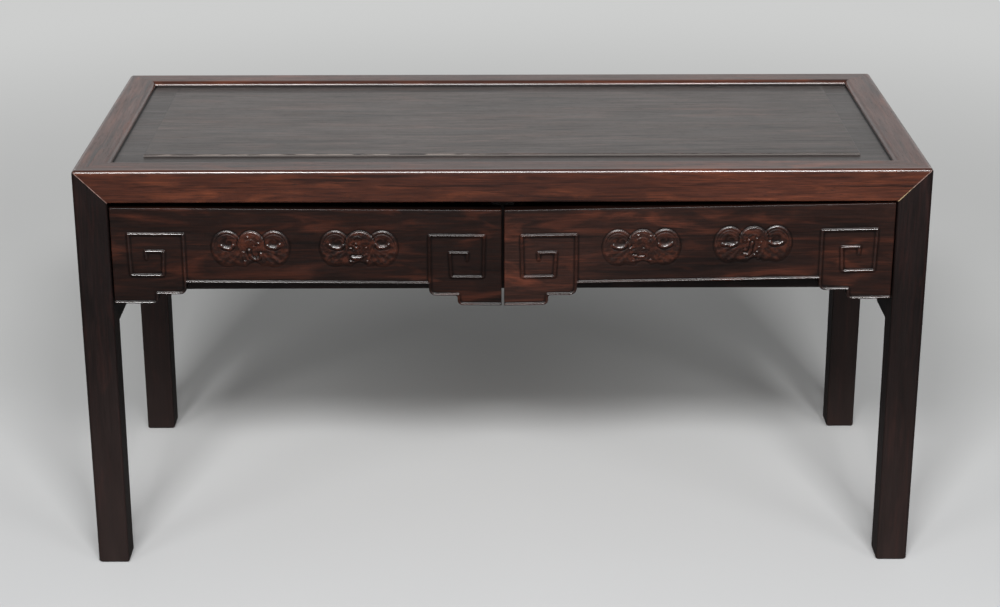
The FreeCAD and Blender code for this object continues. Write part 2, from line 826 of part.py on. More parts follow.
def apron_tenons(end, grow):
    """End tenons of the back row apron whose shoulders stand at the given end."""
    middle = half_depth - APRON_RECESS - APRON_THICKNESS / 2
    half = TENON_THICKNESS / 2 + grow
    root = end - APRON_TENON_DEPTH - grow
    tip = end + APRON_TENON_DEPTH + grow
    tenons = []
    for low, high in apron_tenon_spans():
        tenon = block(root, tip, middle - half, middle + half, low - grow, high + grow)
        tenons += [tenon, flip_x(tenon)]
    return tenons


def apron(end, leg_offset):
    """Stepped and beaded apron along the back, between shoulders at plus and minus end."""
    outer = half_depth - APRON_RECESS
    heights = apron_heights()
    widths = (APRON_SCROLL_WIDTH, APRON_STEP_WIDTH)

    def half_at(level):
        return leg_offset - leg_width_at(level)

    corners = stepped_corners(half_at, frame_underside, heights, widths, 0)
    board = Part.Face(rounded_wire(corners)).extrude(V(0, APRON_THICKNESS, 0))
    board.translate(V(0, -outer, 0))
    beads = fret_beads(end, heights, widths, frame_underside - APRON_FRET_TOP, -outer)
    return flip_y(fused([board] + beads))


def back_apron_tenons(grow=0.0):
    """Tenons of the back apron in the back legs."""
    return apron_tenons(opening_half_width, grow)


def back_apron():
    """Apron at the back of the table."""
    board = apron(opening_half_width, half_width)
    shape = fused([board, apron_tongue(opening_half_width)] + back_apron_tenons())
    return cut_all(shape, runner_stubs(JOINT_CLEARANCE))


def end_row(shape):
    """Move a piece from the back of the table to its left end, at the same distance inwards."""
    moved = shape.copy()
    moved.translate(V(0, half_width - half_depth, 0))
    return turn_to_end(moved)


def end_apron_tenons(grow=0.0):
    """Tenons of the left apron in both left legs."""
    return [end_row(tenon) for tenon in apron_tenons(opening_half_depth, grow)]


def end_apron_tongue(grow=0.0):
    """Tongue of the left apron under the end rail, or its groove when grown."""
    return end_row(apron_tongue(opening_half_depth, grow))


def end_apron():
    """Apron at the left end of the table."""
    board = end_row(apron(opening_half_depth, half_depth))
    return fused([board, end_apron_tongue()] + end_apron_tenons())


def runner_rows():
    """Inner and outer edge of each runner along the table, and its stub places."""
    half = CENTRE_RUNNER_WIDTH / 2
    stub = RUNNER_STUB_WIDTH
    outer = opening_half_width - RUNNER_END_GAP
    inner = outer - RUNNER_WIDTH
    middle = (outer + inner) / 2
    return {
        "left": (-outer, -inner, (-middle,)),
        "centre": (-half, half, (stub - half, half - stub)),
        "right": (inner, outer, (middle,)),
    }


def runner_stubs(grow=0.0, wanted=("left", "centre", "right")):
    """Stub tenons of the runners, each as one bar from the lower rail to the back apron."""
    bars = []
    half = RUNNER_STUB_WIDTH / 2 + grow
    high = lower_rail_top - (RUNNER_HEIGHT - RUNNER_STUB_HEIGHT) / 2
    low = high - RUNNER_STUB_HEIGHT
    y_from = lower_rail_back - RUNNER_STUB_LENGTH - grow
    y_to = apron_inner_half_depth + RUNNER_STUB_LENGTH + grow
    for name in wanted:
        for middle in runner_rows()[name][2]:
            bars.append(block(middle - half, middle + half, y_from, y_to, low - grow, high + grow))
    return bars


def runner(name):
    """Runner that carries a drawer side."""
    x_from, x_to, stubs = runner_rows()[name]
    low = lower_rail_top - RUNNER_HEIGHT
    body = block(x_from, x_to, lower_rail_back, apron_inner_half_depth, low, lower_rail_top)
    return fused([body] + runner_stubs(0, (name,)))


def end_guide():
    """Strip on the right apron that guides the drawer between the legs."""
    reach = half_depth - leg_width_at(lower_rail_top) - GUIDE_END_GAP
    high = lower_rail_top + GUIDE_HEIGHT
    return block(
        opening_half_width,
        apron_inner_half_width,
        -reach,
        reach,
        lower_rail_top - RUNNER_HEIGHT,
        high,
    )


def centre_guide():
    """Strip on the middle runner that keeps the two drawers apart."""
    half = STILE_WIDTH / 2
    high = lower_rail_top + GUIDE_HEIGHT
    return block(-half, half, lower_rail_back, apron_inner_half_depth, lower_rail_top, high)


def carcass():
    """Every fixed piece of the table by name."""
    front_leg = leg(True)
    back_leg = leg(False)
    pieces = {
        "front_top_rail": long_rail(True),
        "back_top_rail": long_rail(False),
        "left_end_rail": end_rail(),
        "right_end_rail": flip_x(end_rail()),
        "top_panel": top_panel(),
        "front_left_leg": front_leg,
        "front_right_leg": flip_x(front_leg),
        "back_left_leg": back_leg,
        "back_right_leg": flip_x(back_leg),
        "front_lower_rail": front_lower_rail(),
        "centre_stile": centre_stile(),
        "left_apron": end_apron(),
        "right_apron": flip_x(end_apron()),
        "back_apron": back_apron(),
        "left_guide_strip": flip_x(end_guide()),
        "right_guide_strip": end_guide(),
        "centre_guide_strip": centre_guide(),
    }
    for name, middle in batten_places().items():
        pieces[name + "_panel_batten"] = panel_batten(middle)
    for name in runner_rows():
        pieces[name + "_runner"] = runner(name)
    return pieces


def drawers():
    """Every piece of the two drawers by name."""
    right = {
        "front": drawer_front(),
        "outer_side": outer_side(),
        "inner_side": inner_side(),
        "back": drawer_back(),
        "bottom": bottom_board(),
    }
    pieces = {}
    for name, shape in right.items():
        pieces["right_drawer_" + name] = shape
        pieces["left_drawer_" + name] = flip_x(shape)
    return pieces


def main():
    os.makedirs("parts", exist_ok=True)
    pieces = {**carcass(), **drawers()}
    for name, shape in sorted(pieces.items()):
        solid = shape.Solids[0] if len(shape.Solids) == 1 else shape
        solid.exportStep("parts/" + name + ".step")
        box = solid.BoundBox
        print(f"{name}: solids {len(shape.Solids)}, valid {shape.isValid()}, volume {solid.Volume:.0f},"
              f" x {box.XMin:.1f} {box.XMax:.1f}, y {box.YMin:.1f} {box.YMax:.1f},"
              f" z {box.ZMin:.1f} {box.ZMax:.1f}")


main()
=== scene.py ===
import json
import math

import bmesh
import bpy
import numpy as np
from mathutils import Matrix, Vector


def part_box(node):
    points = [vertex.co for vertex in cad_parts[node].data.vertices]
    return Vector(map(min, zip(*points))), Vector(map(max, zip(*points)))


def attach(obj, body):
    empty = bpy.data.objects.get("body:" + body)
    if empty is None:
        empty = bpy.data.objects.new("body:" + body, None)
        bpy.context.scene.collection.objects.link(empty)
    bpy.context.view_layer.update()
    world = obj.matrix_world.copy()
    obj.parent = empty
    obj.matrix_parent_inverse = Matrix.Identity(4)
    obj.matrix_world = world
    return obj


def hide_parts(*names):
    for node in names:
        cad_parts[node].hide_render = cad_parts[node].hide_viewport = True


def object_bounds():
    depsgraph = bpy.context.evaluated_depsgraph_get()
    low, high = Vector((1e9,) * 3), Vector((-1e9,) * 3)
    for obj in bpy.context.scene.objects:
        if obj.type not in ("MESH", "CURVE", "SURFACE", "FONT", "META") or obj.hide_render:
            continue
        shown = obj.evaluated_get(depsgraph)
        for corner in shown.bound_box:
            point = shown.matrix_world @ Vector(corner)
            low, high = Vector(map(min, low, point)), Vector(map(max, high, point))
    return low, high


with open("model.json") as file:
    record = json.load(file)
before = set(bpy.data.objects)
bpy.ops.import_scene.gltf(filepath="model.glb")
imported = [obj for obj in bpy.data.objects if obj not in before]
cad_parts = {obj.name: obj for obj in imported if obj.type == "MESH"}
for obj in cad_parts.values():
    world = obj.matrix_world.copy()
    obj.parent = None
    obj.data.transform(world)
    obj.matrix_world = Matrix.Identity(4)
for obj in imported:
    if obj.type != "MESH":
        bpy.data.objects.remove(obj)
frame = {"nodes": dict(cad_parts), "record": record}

# A low hardwood kang table in metres: carved boards, wood materials, studio floor and lamps.
# The carved boards are worked out in millimetres on their own plane.

MM = 0.001
cad_low, cad_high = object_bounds()
frame_top = cad_high.z
half_width = cad_high.x
half_depth = cad_high.y
leg_low, leg_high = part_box("front_left_leg")
member = leg_high.x - leg_low.x
field_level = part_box("top_panel")[1].z

# Camera of the photograph
CAMERA_PLACE = (-0.0168, -2.5008, 1.1731)
CAMERA_YAW = -0.0059
CAMERA_PITCH = 0.35475
CAMERA_ROLL = -0.0010
CAMERA_LENS = 77.19
CAMERA_SENSOR = 36.0

# Stepped lower edge of the drawer fronts and aprons, in mm: drops from the top of the board to its plain
# lower edge, to its scrolls and to its frets, reach below the solid, widths of scroll and step from the
# end, and step of the grid
FRONT_SHAPE = {
    "drops": (88.4, 102.2, 30.7),
    "reach_below": 1.6,
    "widths": (82.5, 50.0),
    "fine_step": 0.6,
}
APRON_SHAPE = {
    "drops": (129.0, 145.0, 45.0),
    "reach_below": 0.0,
    "widths": (112.0, 78.0),
    "fine_step": 1.0,
}
BOARD_THICKNESS = 20.0
APRON_RECESS = 14.0
APRON_END_LAP = 0.8
CLOSED_GAP = 0.3
# Rise of each old drawer front from its middle to its right end, and its lift
DRAWER_SAG = {"left": -1.9, "right": 3.7}
DRAWER_LIFT = {"left": -2.0, "right": -0.4}

# Beads, hollows, edges and corners of the boards, in mm
BEAD_WIDTH = 3.0
BEAD_RISE = 1.6
BEAD_SIDE = 0.4
BEAD_MARGIN = -0.4
BEAD_GROOVE_DEPTH = 0.45
BEAD_GROOVE_WIDTH = 1.0
BEAD_GROOVE_SHARE = 0.6
CREST_ROUND = 0.3
LINE_ROUND = 0.2
FLANK_SLOPE = 0.58
KNUCKLE_REACH = 1.5
KNUCKLE_SHARE = 0.6
EDGE_ROUND = 0.9
STEP_CORNER_RADIUS = 5.5
HOLLOW_CORNER_RADIUS = 3.0
SCROLL_CORNER_RADIUS = 7.5
END_CORNER_RADIUS = 1.0
# Turns of a key fret, as shares of the scroll's width and of the fret's height
FRET_TURN_SHARES = (
    (1.0, 1.0),
    (0.24, 1.0),
    (0.255, 0.305),
    (0.70, 0.305),
    (0.72, 0.71),
    (0.47, 0.71),
    (0.48, 0.587),
)
GROUND_TEXTURE = 0.06
WAVES = 9
WAVE_TURN = 0.35
WAVE_LENGTHS = (9.0, 55.0)
RELIEF_LIMIT = 2.75
# Raised field of the panel, and eased edges of every CAD piece, in mm and degrees
FIELD_RISE = 3.0
FIELD_END_INSET = 31.5
FIELD_SIDE_INSET = 39.0
EASED_EDGE = 0.5
EASED_ANGLE = 50

# Grid of a carved board, in mm
BAT_STEP = 0.48
BAT_HALF_LENGTH = 46.0
BAT_HALF_HEIGHT = 24.0
BAT_WINDOW = (50.0, 30.0)
COARSE_STEP = 3.2
SKIN_SHARE = 0.25
WELD_GAP = 0.02
# Passes of smoothing that part the relief from its ground, whose hollows then take dark wax and painted
# shade, and the relief given to the walls and back, which paints them in full shade
HALO_PASSES = 26
WALL_SHADE_RELIEF = -3.0
# Step between the ranks of faces with different first points
RANK_STEP = 1e7

# The four bats as carved, no two alike, in mm. Each has its place from the middle of the drawer front
# and below its top, and, from its own middle, the notch under it, the dome of its head, the two lower
# lids, the snout, single lines and bumps.
LEFT_OUTER_BAT = {
    "place": (-63, 47.3),
    "notch": 3.8,
    "dome": (0.6, 15),
    "lids": (
        ((-32.4, 3.6), (-31, 1.5), (-27.5, 0.4), (-23.4, -0.3), (-20.6, 1.4), (-19.2, 4.2)),
        ((19, 3.7), (21.8, 1.4), (25.3, 1.6), (28.1, 0.6), (31.6, 3), (32.9, 5.2)),
    ),
    "snout": ((-1.6, -1.8), (-0.9, -7.6), (3, -12.2), (7.9, -12.6), (11, -9.8), (11.4, -5.9)),
    "snout_reach": 1.9,
    "lines": (
        ((-13, 3), (-11, -4), (-8.4, -9), (-7, -17)),
        ((14.6, 2), (13.6, -6), (13.4, -13), (11.6, -17)),
        ((-6, 8), (-2, 11), (3, 10), (6, 6.5)),
    ),
    "bumps": ((-8.1, -4.4), (-6.7, -14.8), (3.8, 3), (9.3, 6.7), (-2.5, 13.6), (6.6, -9.6)),
}
LEFT_INNER_BAT = {
    "place": (58.8, 46.5),
    "notch": 1,
    "dome": (1.4, 16.6),
    "lids": (
        ((-32.4, 4), (-30.3, 1.9), (-26.8, 0.8), (-22.7, 0.1), (-19.2, 1.2), (-17.1, 4.1)),
        ((19, 5.6), (21.1, 2.6), (23.9, 1), (26, 2.3), (28.8, 1.5), (32.9, 3), (33.8, 4.9)),
    ),
    "snout": ((-7.2, -10.6), (-3.9, -11.4), (1.5, -10.6)),
    "snout_reach": 2.5,
    "lines": (
        ((3, -10.2), (6.5, -8.6), (9.3, -6.2)),
        ((-14, 4), (-13, -5), (-10.4, -12)),
        ((16.2, 4), (14.6, -4), (10.8, -12)),
        ((-7, 7), (-6.4, 12), (-2, 15), (3, 13)),
    ),
    "bumps": (
        (-8.8, 4.1), (-5.3, 3), (-3, 5.8), (-2.6, 1),
        (-9, 0.2), (8.4, 1), (9.4, -15), (-8.8, -15.2),
    ),
}
RIGHT_INNER_BAT = {
    "place": (-65, 46.8),
    "notch": 1.8,
    "dome": (1, 16),
    "lids": (
        ((-31.6, 2.8), (-28.8, 0.2), (-24.6, -0.5), (-21.1, -0.3), (-17.7, 2.4), (-16.3, 5.3)),
        ((19.2, 3.9), (21.3, 1.2), (26.1, -0.3), (31, 1.6), (34.5, 4.6)),
    ),
    "snout": ((-8.6, -9.4), (-3.8, -11.2), (2.8, -11.2)),
    "snout_reach": 1.3,
    "lines": (
        ((10.2, 8.8), (12.2, 6), (11.6, 3.2)),
        ((-13.6, 4), (-12.4, -5), (-9.6, -12), (-7, -16)),
        ((6, 1), (7.6, -4), (6.4, -8)),
        ((-5, 9), (0, 12), (5, 10)),
    ),
    "bumps": (
        (-12.2, -0.8), (-9.4, 0.4), (2.6, -1.6), (-3.8, 14.2),
        (10.4, 13.2), (-8.8, -16.2), (10.4, -15.4),
    ),
}
RIGHT_OUTER_BAT = {
    "place": (60.5, 45.5),
    "notch": 3.4,
    "dome": (0.8, 16.2),
    "lids": (
        ((-34.6, 1.2), (-31.1, -0.5), (-29.1, 0.5), (-24.9, -1.2), (-20.7, -0.5), (-17.9, 1.8)),
        ((18.9, 2.4), (21, 0), (24.5, -0.8), (27.2, 0.6), (30, -0.5), (33.5, 1.5)),
    ),
    "snout": ((-8.9, -11.4), (-5.6, -12.8), (-2.6, -9), (-1.9, -3.6), (-0.6, 1.8)),
    "snout_reach": 1.7,
    "lines": (
        ((-13.8, 3), (-12.6, -6), (-9.8, -14)),
        ((14.8, 2), (13.2, -6), (8.6, -14)),
        ((-4, 9.6), (1, 12.4), (6, 9.4)),
    ),
    "bumps": (
        (-8.9, 3.7), (-4.7, 4.6), (9.2, 2.2), (5, -9.6), (7.1, -3.7),
        (2.2, -12.6), (-8.6, -6), (4.6, 6.4), (6.8, -17),
    ),
}
BATS = {"left": (LEFT_OUTER_BAT, LEFT_INNER_BAT), "right": (RIGHT_INNER_BAT, RIGHT_OUTER_BAT)}

# Forms that the bats share, in mm, levels and places from the middle of the bat
WING_MIDDLE = 26.5
WING_RADII = (17.8, 21.3)
WING_RISE = 1.1
LOWER_SLOPE = 0.5
LOWER_MIDDLE = (0, -9.3)
LOWER_RADII = (33.0, 11.9)
NOTCH_LEVEL = -23.0
NOTCH_RADII = (9.2, 7.4)
EYE_LIFT = 6.0
EYE_RADII = (8.6, 6.6)
EYE_DEPTH = 0.85
CURL = ((-7.2, 1.0), (-4.2, 4.6), (0.6, 4.4), (1.6, 1.6))
CURL_LIFT = 4.0
HEAD_LEVEL = 5.2
HEAD_TOP = 21.0
HEAD_RISE = 1.25
CHEEK_LEVEL = -4.0
CHEEK_SHARE = 0.92
CHEEK_REACH = 17.0
FACE_SHARE = 0.85
CROWN_LIFT = 0.25
# Cuts that follow a form: distance from it, width and rise
CUTS = {
    "rim": (3.0, 0.8, -0.85),
    "second_rim": (5.4, 0.8, -0.45),
    "lid": (2.6, 0.8, -0.45),
    "crown": (3.3, 0.8, -0.55),
    "neck": (-0.8, 0.7, -0.6),
    "bump": (2.4, 0.7, -0.25),
    "snout": (0.8, 0.8, -0.55),
}
# Levels, or distances inside a form, between which something fades in: none of it and all of it
FADES = {
    "rim": (-3.0, 9.0),
    "second_rim": (2.0, 8.0),
    "lid": (1.0, -2.0),
    "eye": (0.0, 4.0),
    "feather": (-2.0, -6.0),
    "feather_inset": (0.8, 3.6),
    "upper": (-10.0, 4.0),
    "crown": (0.0, 6.0),
    "body": (-1.0, 0.5),
    "face": (0.0, 1.5),
    "head_bead": (-0.6, 0.5),
    "detail": (0.0, 2.0),
    "tooled": (0.0, 3.0),
    "edge": (0.0, 1.0),
    "worn": (0.2, 1.2),
}
# Reach of a raised line to either side of its crest
LID_REACH = 2.2
CURL_REACH = 1.1
LINE_REACH = 1.2
BUMP_REACH = 1.5
BUMP_STRETCH = 1.25
# Beading round the head, by the cosine of its angle
HEAD_BEADS = 19.0
HEAD_BEAD_LOW = 0.75
HEAD_BEAD_GAIN = 0.35
# Feathers that spread from a point beside the head
FEATHER_RISE = 0.22
FEATHER_LEVELS = (4.0, 8.0)
FEATHER_PLACES = (20.0, 24.0)
FEATHER_COUNTS = (24.0, 30.0)
CURL_STRETCHES = (0.8, 1.1)
PHASES = (0.0, 6.0)
# Chisel marks on the face
CHISEL_MARKS = 22
CHISEL_SPREAD = 0.8
CHISEL_HEIGHT = 15.5
CHISEL_LEVEL = 1.0
CHISEL_STRETCHES = (0.8, 1.6)
CHISEL_REACHES = (0.8, 1.4)
CHISEL_RISES = (-0.9, 0.55)
# Sunk line round the bat, and tool marks over it
SURROUND_WIDTH = 1.6
SURROUND_DEPTH = 0.2
TOOL_DEPTH = 0.03
FACE_TOOL_DEPTH = 0.14
# Two crossing waves of tool marks: turn in a mm, bend, and turn of the bend
TOOL_WAVES = ((1.7, 1.3, 0.9), (1.9, 0.8, 1.1))

SEEDS = {"left": 11, "right": 47}
BAT_SEED_STEP = 10
APRON_SEEDS = {"back_apron": 5, "left_apron": 6, "right_apron": 7}
PLAIN_WOOD_SEED = 100
CARVED_WOOD_SEED = 200


def smoothstep(low, high, value):
    """0 at low, 1 at high, smooth between."""
    share = np.clip((value - low) / (high - low), 0.0, 1.0)
    return share * share * (3.0 - 2.0 * share)


def spaced(stops, steps):
    """Grid lines through every stop, with the given step between each two."""
    lines = [stops[0]]
    for low, high, step in zip(stops, stops[1:], steps):
        count = max(1, round((high - low) / step))
        lines.extend(low + (high - low) * index / count for index in range(1, count + 1))
    return np.array(lines)


def rounded_outline(corners, arc_steps=7):
    """Closed outline through (u, v, radius) corners, with each corner as an arc."""
    points = []
    count = len(corners)
    for index, (u, v, radius) in enumerate(corners):
        here = Vector((u, v))
        before = (Vector(corners[index - 1][:2]) - here).normalized()
        after = (Vector(corners[(index + 1) % count][:2]) - here).normalized()
        centre = here + (before + after) * radius
        start = here + before * radius - centre
        end = here + after * radius - centre
        for step in range(arc_steps + 1):
            angle = math.pi / 2 * step / arc_steps
            points.append(centre + start * math.cos(angle) + end * math.sin(angle))
    return np.array([tuple(point) for point in points])


def arc_points(centre, radius, steps=5):
    """Points along the lower right quarter of a circle, from its bottom to its side."""
    points = []
    for step in range(steps + 1):
        angle = math.pi / 2 * step / steps
        points.append((centre[0] + radius * math.sin(angle), centre[1] - radius * math.cos(angle)))
    return points


def curve(points):
    """Path with its corners cut twice, so that it bends smoothly."""
    for _ in range(2):
        cut = [points[0]]
        for (u0, v0), (u1, v1) in zip(points, points[1:]):
            cut.append((0.75 * u0 + 0.25 * u1, 0.75 * v0 + 0.25 * v1))
            cut.append((0.25 * u0 + 0.75 * u1, 0.25 * v0 + 0.75 * v1))
        points = cut + [points[-1]]
    return points


def path_distance(u, v, points):
    """Distance from every (u, v) to an open path, and the nearest point on it."""
    best = np.full(u.shape, np.inf)
    near_u = np.zeros(u.shape)
    near_v = np.zeros(u.shape)
    for (u0, v0), (u1, v1) in zip(points, points[1:]):
        du, dv = u1 - u0, v1 - v0
        length = max(du * du + dv * dv, 1e-12)
        share = np.clip(((u - u0) * du + (v - v0) * dv) / length, 0.0, 1.0)
        at_u, at_v = u0 + du * share, v0 + dv * share
        distance = np.hypot(u - at_u, v - at_v)
        closer = distance < best
        best = np.where(closer, distance, best)
        near_u = np.where(closer, at_u, near_u)
        near_v = np.where(closer, at_v, near_v)
    return best, near_u, near_v


def inside(u, v, outline):
    """True where (u, v) lies inside a closed outline."""
    result = np.zeros(u.shape, bool)
    for (u0, v0), (u1, v1) in zip(outline, np.roll(outline, -1, axis=0)):
        if v0 == v1:
            continue
        crosses = (v0 > v) != (v1 > v)
        result ^= crosses & (u < (u1 - u0) * (v - v0) / (v1 - v0) + u0)
    return result


def ellipse_gap(u, v, centre, radii):
    """About how far a point lies inside an ellipse, negative outside."""
    reach = np.hypot((u - centre[0]) / radii[0], (v - centre[1]) / radii[1])
    return (1.0 - reach) * min(radii)


def bead(distance, reach, rise):
    """Section of a raised bead with two sloping flanks and steep sides."""
    crest = rise - FLANK_SLOPE * (np.sqrt(distance ** 2 + CREST_ROUND ** 2) - CREST_ROUND)
    return crest * smoothstep(reach, reach - BEAD_SIDE, distance)


def raised(distance, reach):
    """Raised line with flanks of one slope, at a distance from its crest."""
    return FLANK_SLOPE * np.clip(reach - np.sqrt(distance ** 2 + LINE_ROUND ** 2), 0.0, None)


def ridge(distance, middle, width, rise):
    """Rounded ridge, or a groove where its rise is negative, along a line at the distance middle."""
    return rise * np.exp(-(((distance - middle) / width) ** 2))


def cut(form, distance):
    """One of the cuts, at a distance from its form."""
    return ridge(distance, *CUTS[form])


def fade(form, value):
    """Share of one of the fades that a value has reached."""
    return smoothstep(*FADES[form], value)


def softened(height, passes=1):
    """Height grid with each point averaged a little with its neighbours."""
    for _ in range(passes):
        padded = np.pad(height, 1, mode="edge")
        across = (padded[1:-1, :-2] + 2 * padded[1:-1, 1:-1] + padded[1:-1, 2:]) / 4
        padded = np.pad(across, 1, mode="edge")
        height = (padded[:-2, 1:-1] + 2 * padded[1:-1, 1:-1] + padded[2:, 1:-1]) / 4
    return height


def waviness(u, v, seed):
    """Low hand-worked unevenness from a few crossing waves, from -1 to 1."""
    rng = np.random.default_rng(seed)
    total = np.zeros(u.shape)
    for _ in range(WAVES):
        angle = rng.uniform(-WAVE_TURN, WAVE_TURN)
        length = rng.uniform(*WAVE_LENGTHS)
        phase = rng.uniform(0, 2 * math.pi)
        total += np.sin((u * math.sin(angle) + v * math.cos(angle)) * 2 * math.pi / length + phase)
    return total / WAVES


def wing_detail(out, v, lid, rng):
    """Carving on one wing of a bat. out is measured from the middle of the wing to its tip."""
    gap = ellipse_gap(out, v, (0, 0), WING_RADII)
    detail = fade("rim", v) * cut("rim", gap)
    detail += fade("second_rim", v) * cut("second_rim", gap)
    lid_out = [(abs(u) - WING_MIDDLE, level) for u, level in lid]
    middle_out = sum(u for u, _ in lid_out) / len(lid_out)
    middle_v = sum(level for _, level in lid_out) / len(lid_out)
    eye = ellipse_gap(out, v, (middle_out, middle_v + EYE_LIFT), EYE_RADII)
    detail -= EYE_DEPTH * fade("eye", eye)
    away = path_distance(out, v, curve(lid_out))[0]
    detail += raised(away, LID_REACH)
    below_lid = fade("lid", v - middle_v)
    detail += below_lid * cut("lid", away)
    curl = [(middle_out + rng.uniform(*CURL_STRETCHES) * a, middle_v + CURL_LIFT + b) for a, b in CURL]
    detail += raised(path_distance(out, v, curve(curl))[0], CURL_REACH)
    angle = np.arctan2(v - rng.uniform(*FEATHER_LEVELS), out + rng.uniform(*FEATHER_PLACES))
    feather = np.cos(angle * rng.uniform(*FEATHER_COUNTS) + rng.uniform(*PHASES))
    below = fade("feather", v) * fade("feather_inset", gap)
    return detail + FEATHER_RISE * below * feather


def with_head(height, u, v, wings, notch, dome_place, rng):
    """Height with the domed head laid over the wings, and how far each point lies inside the head."""
    dome_u, dome_radius = dome_place
    dome = ellipse_gap(u, v, (dome_u, HEAD_LEVEL), (dome_radius, HEAD_TOP - HEAD_LEVEL))
    cheeks = ellipse_gap(u, v, (dome_u, CHEEK_LEVEL), (dome_radius * CHEEK_SHARE, CHEEK_REACH))
    head = np.minimum(np.maximum(dome, cheeks), -notch)
    crown = fade("crown", v)
    angle = np.arctan2(v - HEAD_LEVEL, u - dome_u)
    beading = np.cos(angle * HEAD_BEADS + rng.uniform(*PHASES))
    beads = HEAD_BEAD_LOW + HEAD_BEAD_GAIN * fade("head_bead", beading)
    within = fade("face", head)
    face = height * (1.0 - within) + FACE_SHARE * WING_RISE * within
    crest = np.clip(dome * FLANK_SLOPE * beads, 0.0, HEAD_RISE) + cut("crown", dome) * within
    height = np.where(head > 0, np.maximum(face, crown * crest) + crown * CROWN_LIFT * within, height)
    height += crown * cut("neck", dome) * fade("edge", wings)
    return height, head


def chisel_marks(u, v, head, dome_place, rng):
    """Small dents and bumps that a chisel left on the face."""
    dome_u, dome_radius = dome_place
    marks = np.zeros(u.shape)
    for _ in range(CHISEL_MARKS):
        spread = CHISEL_SPREAD * math.sqrt(rng.uniform())
        bearing = rng.uniform(0.0, 2 * math.pi)
        mark_u = dome_u + spread * dome_radius * math.cos(bearing)
        mark_v = spread * CHISEL_HEIGHT * math.sin(bearing) + CHISEL_LEVEL
        away = np.hypot((u - mark_u) / rng.uniform(*CHISEL_STRETCHES), v - mark_v)
        marks += rng.choice(CHISEL_RISES) * raised(away, rng.uniform(*CHISEL_REACHES))
    return marks * fade("detail", head)


def bent_wave(along, across, turn, bend, bend_turn):
    """Wave along one direction whose crests bend across it."""
    return np.sin(along * turn + bend * np.sin(across * bend_turn))


def bat_relief(u, v, bat, seed):
    """Stylised bat in low relief: two scrolled wings and a domed head with a curled snout."""
    rng = np.random.default_rng(seed)
    left = ellipse_gap(u, v, (-WING_MIDDLE, 0), WING_RADII)
    right = ellipse_gap(u, v, (WING_MIDDLE, 0), WING_RADII)
    lower = ellipse_gap(u, v, LOWER_MIDDLE, LOWER_RADII)
    notch = ellipse_gap(u, v, (bat["notch"], NOTCH_LEVEL), NOTCH_RADII)
    wings = np.minimum(np.maximum(np.maximum(left, right), lower), -notch)
    above = fade("upper", v)
    height = np.clip(wings * FLANK_SLOPE * (LOWER_SLOPE + (1.0 - LOWER_SLOPE) * above), 0.0, WING_RISE)
    details = [wing_detail(side * u - WING_MIDDLE, v, lid, rng) for side, lid in zip((-1, 1), bat["lids"])]
    height += fade("detail", wings) * np.where(u < 0, *details)
    height, head = with_head(height, u, v, wings, notch, bat["dome"], rng)
    outside = np.maximum(wings, head)
    body = fade("body", outside)
    for line in bat["lines"]:
        height += raised(path_distance(u, v, curve(line))[0], LINE_REACH) * body
    height += chisel_marks(u, v, head, bat["dome"], rng)
    for bump_u, bump_v in bat["bumps"]:
        away = np.hypot((u - bump_u) / BUMP_STRETCH, v - bump_v)
        height += BUMP_STRETCH * raised(away, BUMP_REACH) + cut("bump", away)
    reach = bat["snout_reach"]
    snout = path_distance(u, v, curve(bat["snout"]))[0]
    height += cut("snout", snout - reach) * body + raised(snout, reach)
    sunk = ridge(outside, 0.0, SURROUND_WIDTH, -SURROUND_DEPTH - SURROUND_DEPTH * above)
    height += np.where(outside < 0, sunk, 0.0)
    tooled = bent_wave(u, v, *TOOL_WAVES[0]) * bent_wave(v, u, *TOOL_WAVES[1])
    tool_depth = TOOL_DEPTH + FACE_TOOL_DEPTH * fade("tooled", head)
    height += tool_depth * tooled * fade("edge", outside)
    return np.minimum(height, RELIEF_LIMIT)


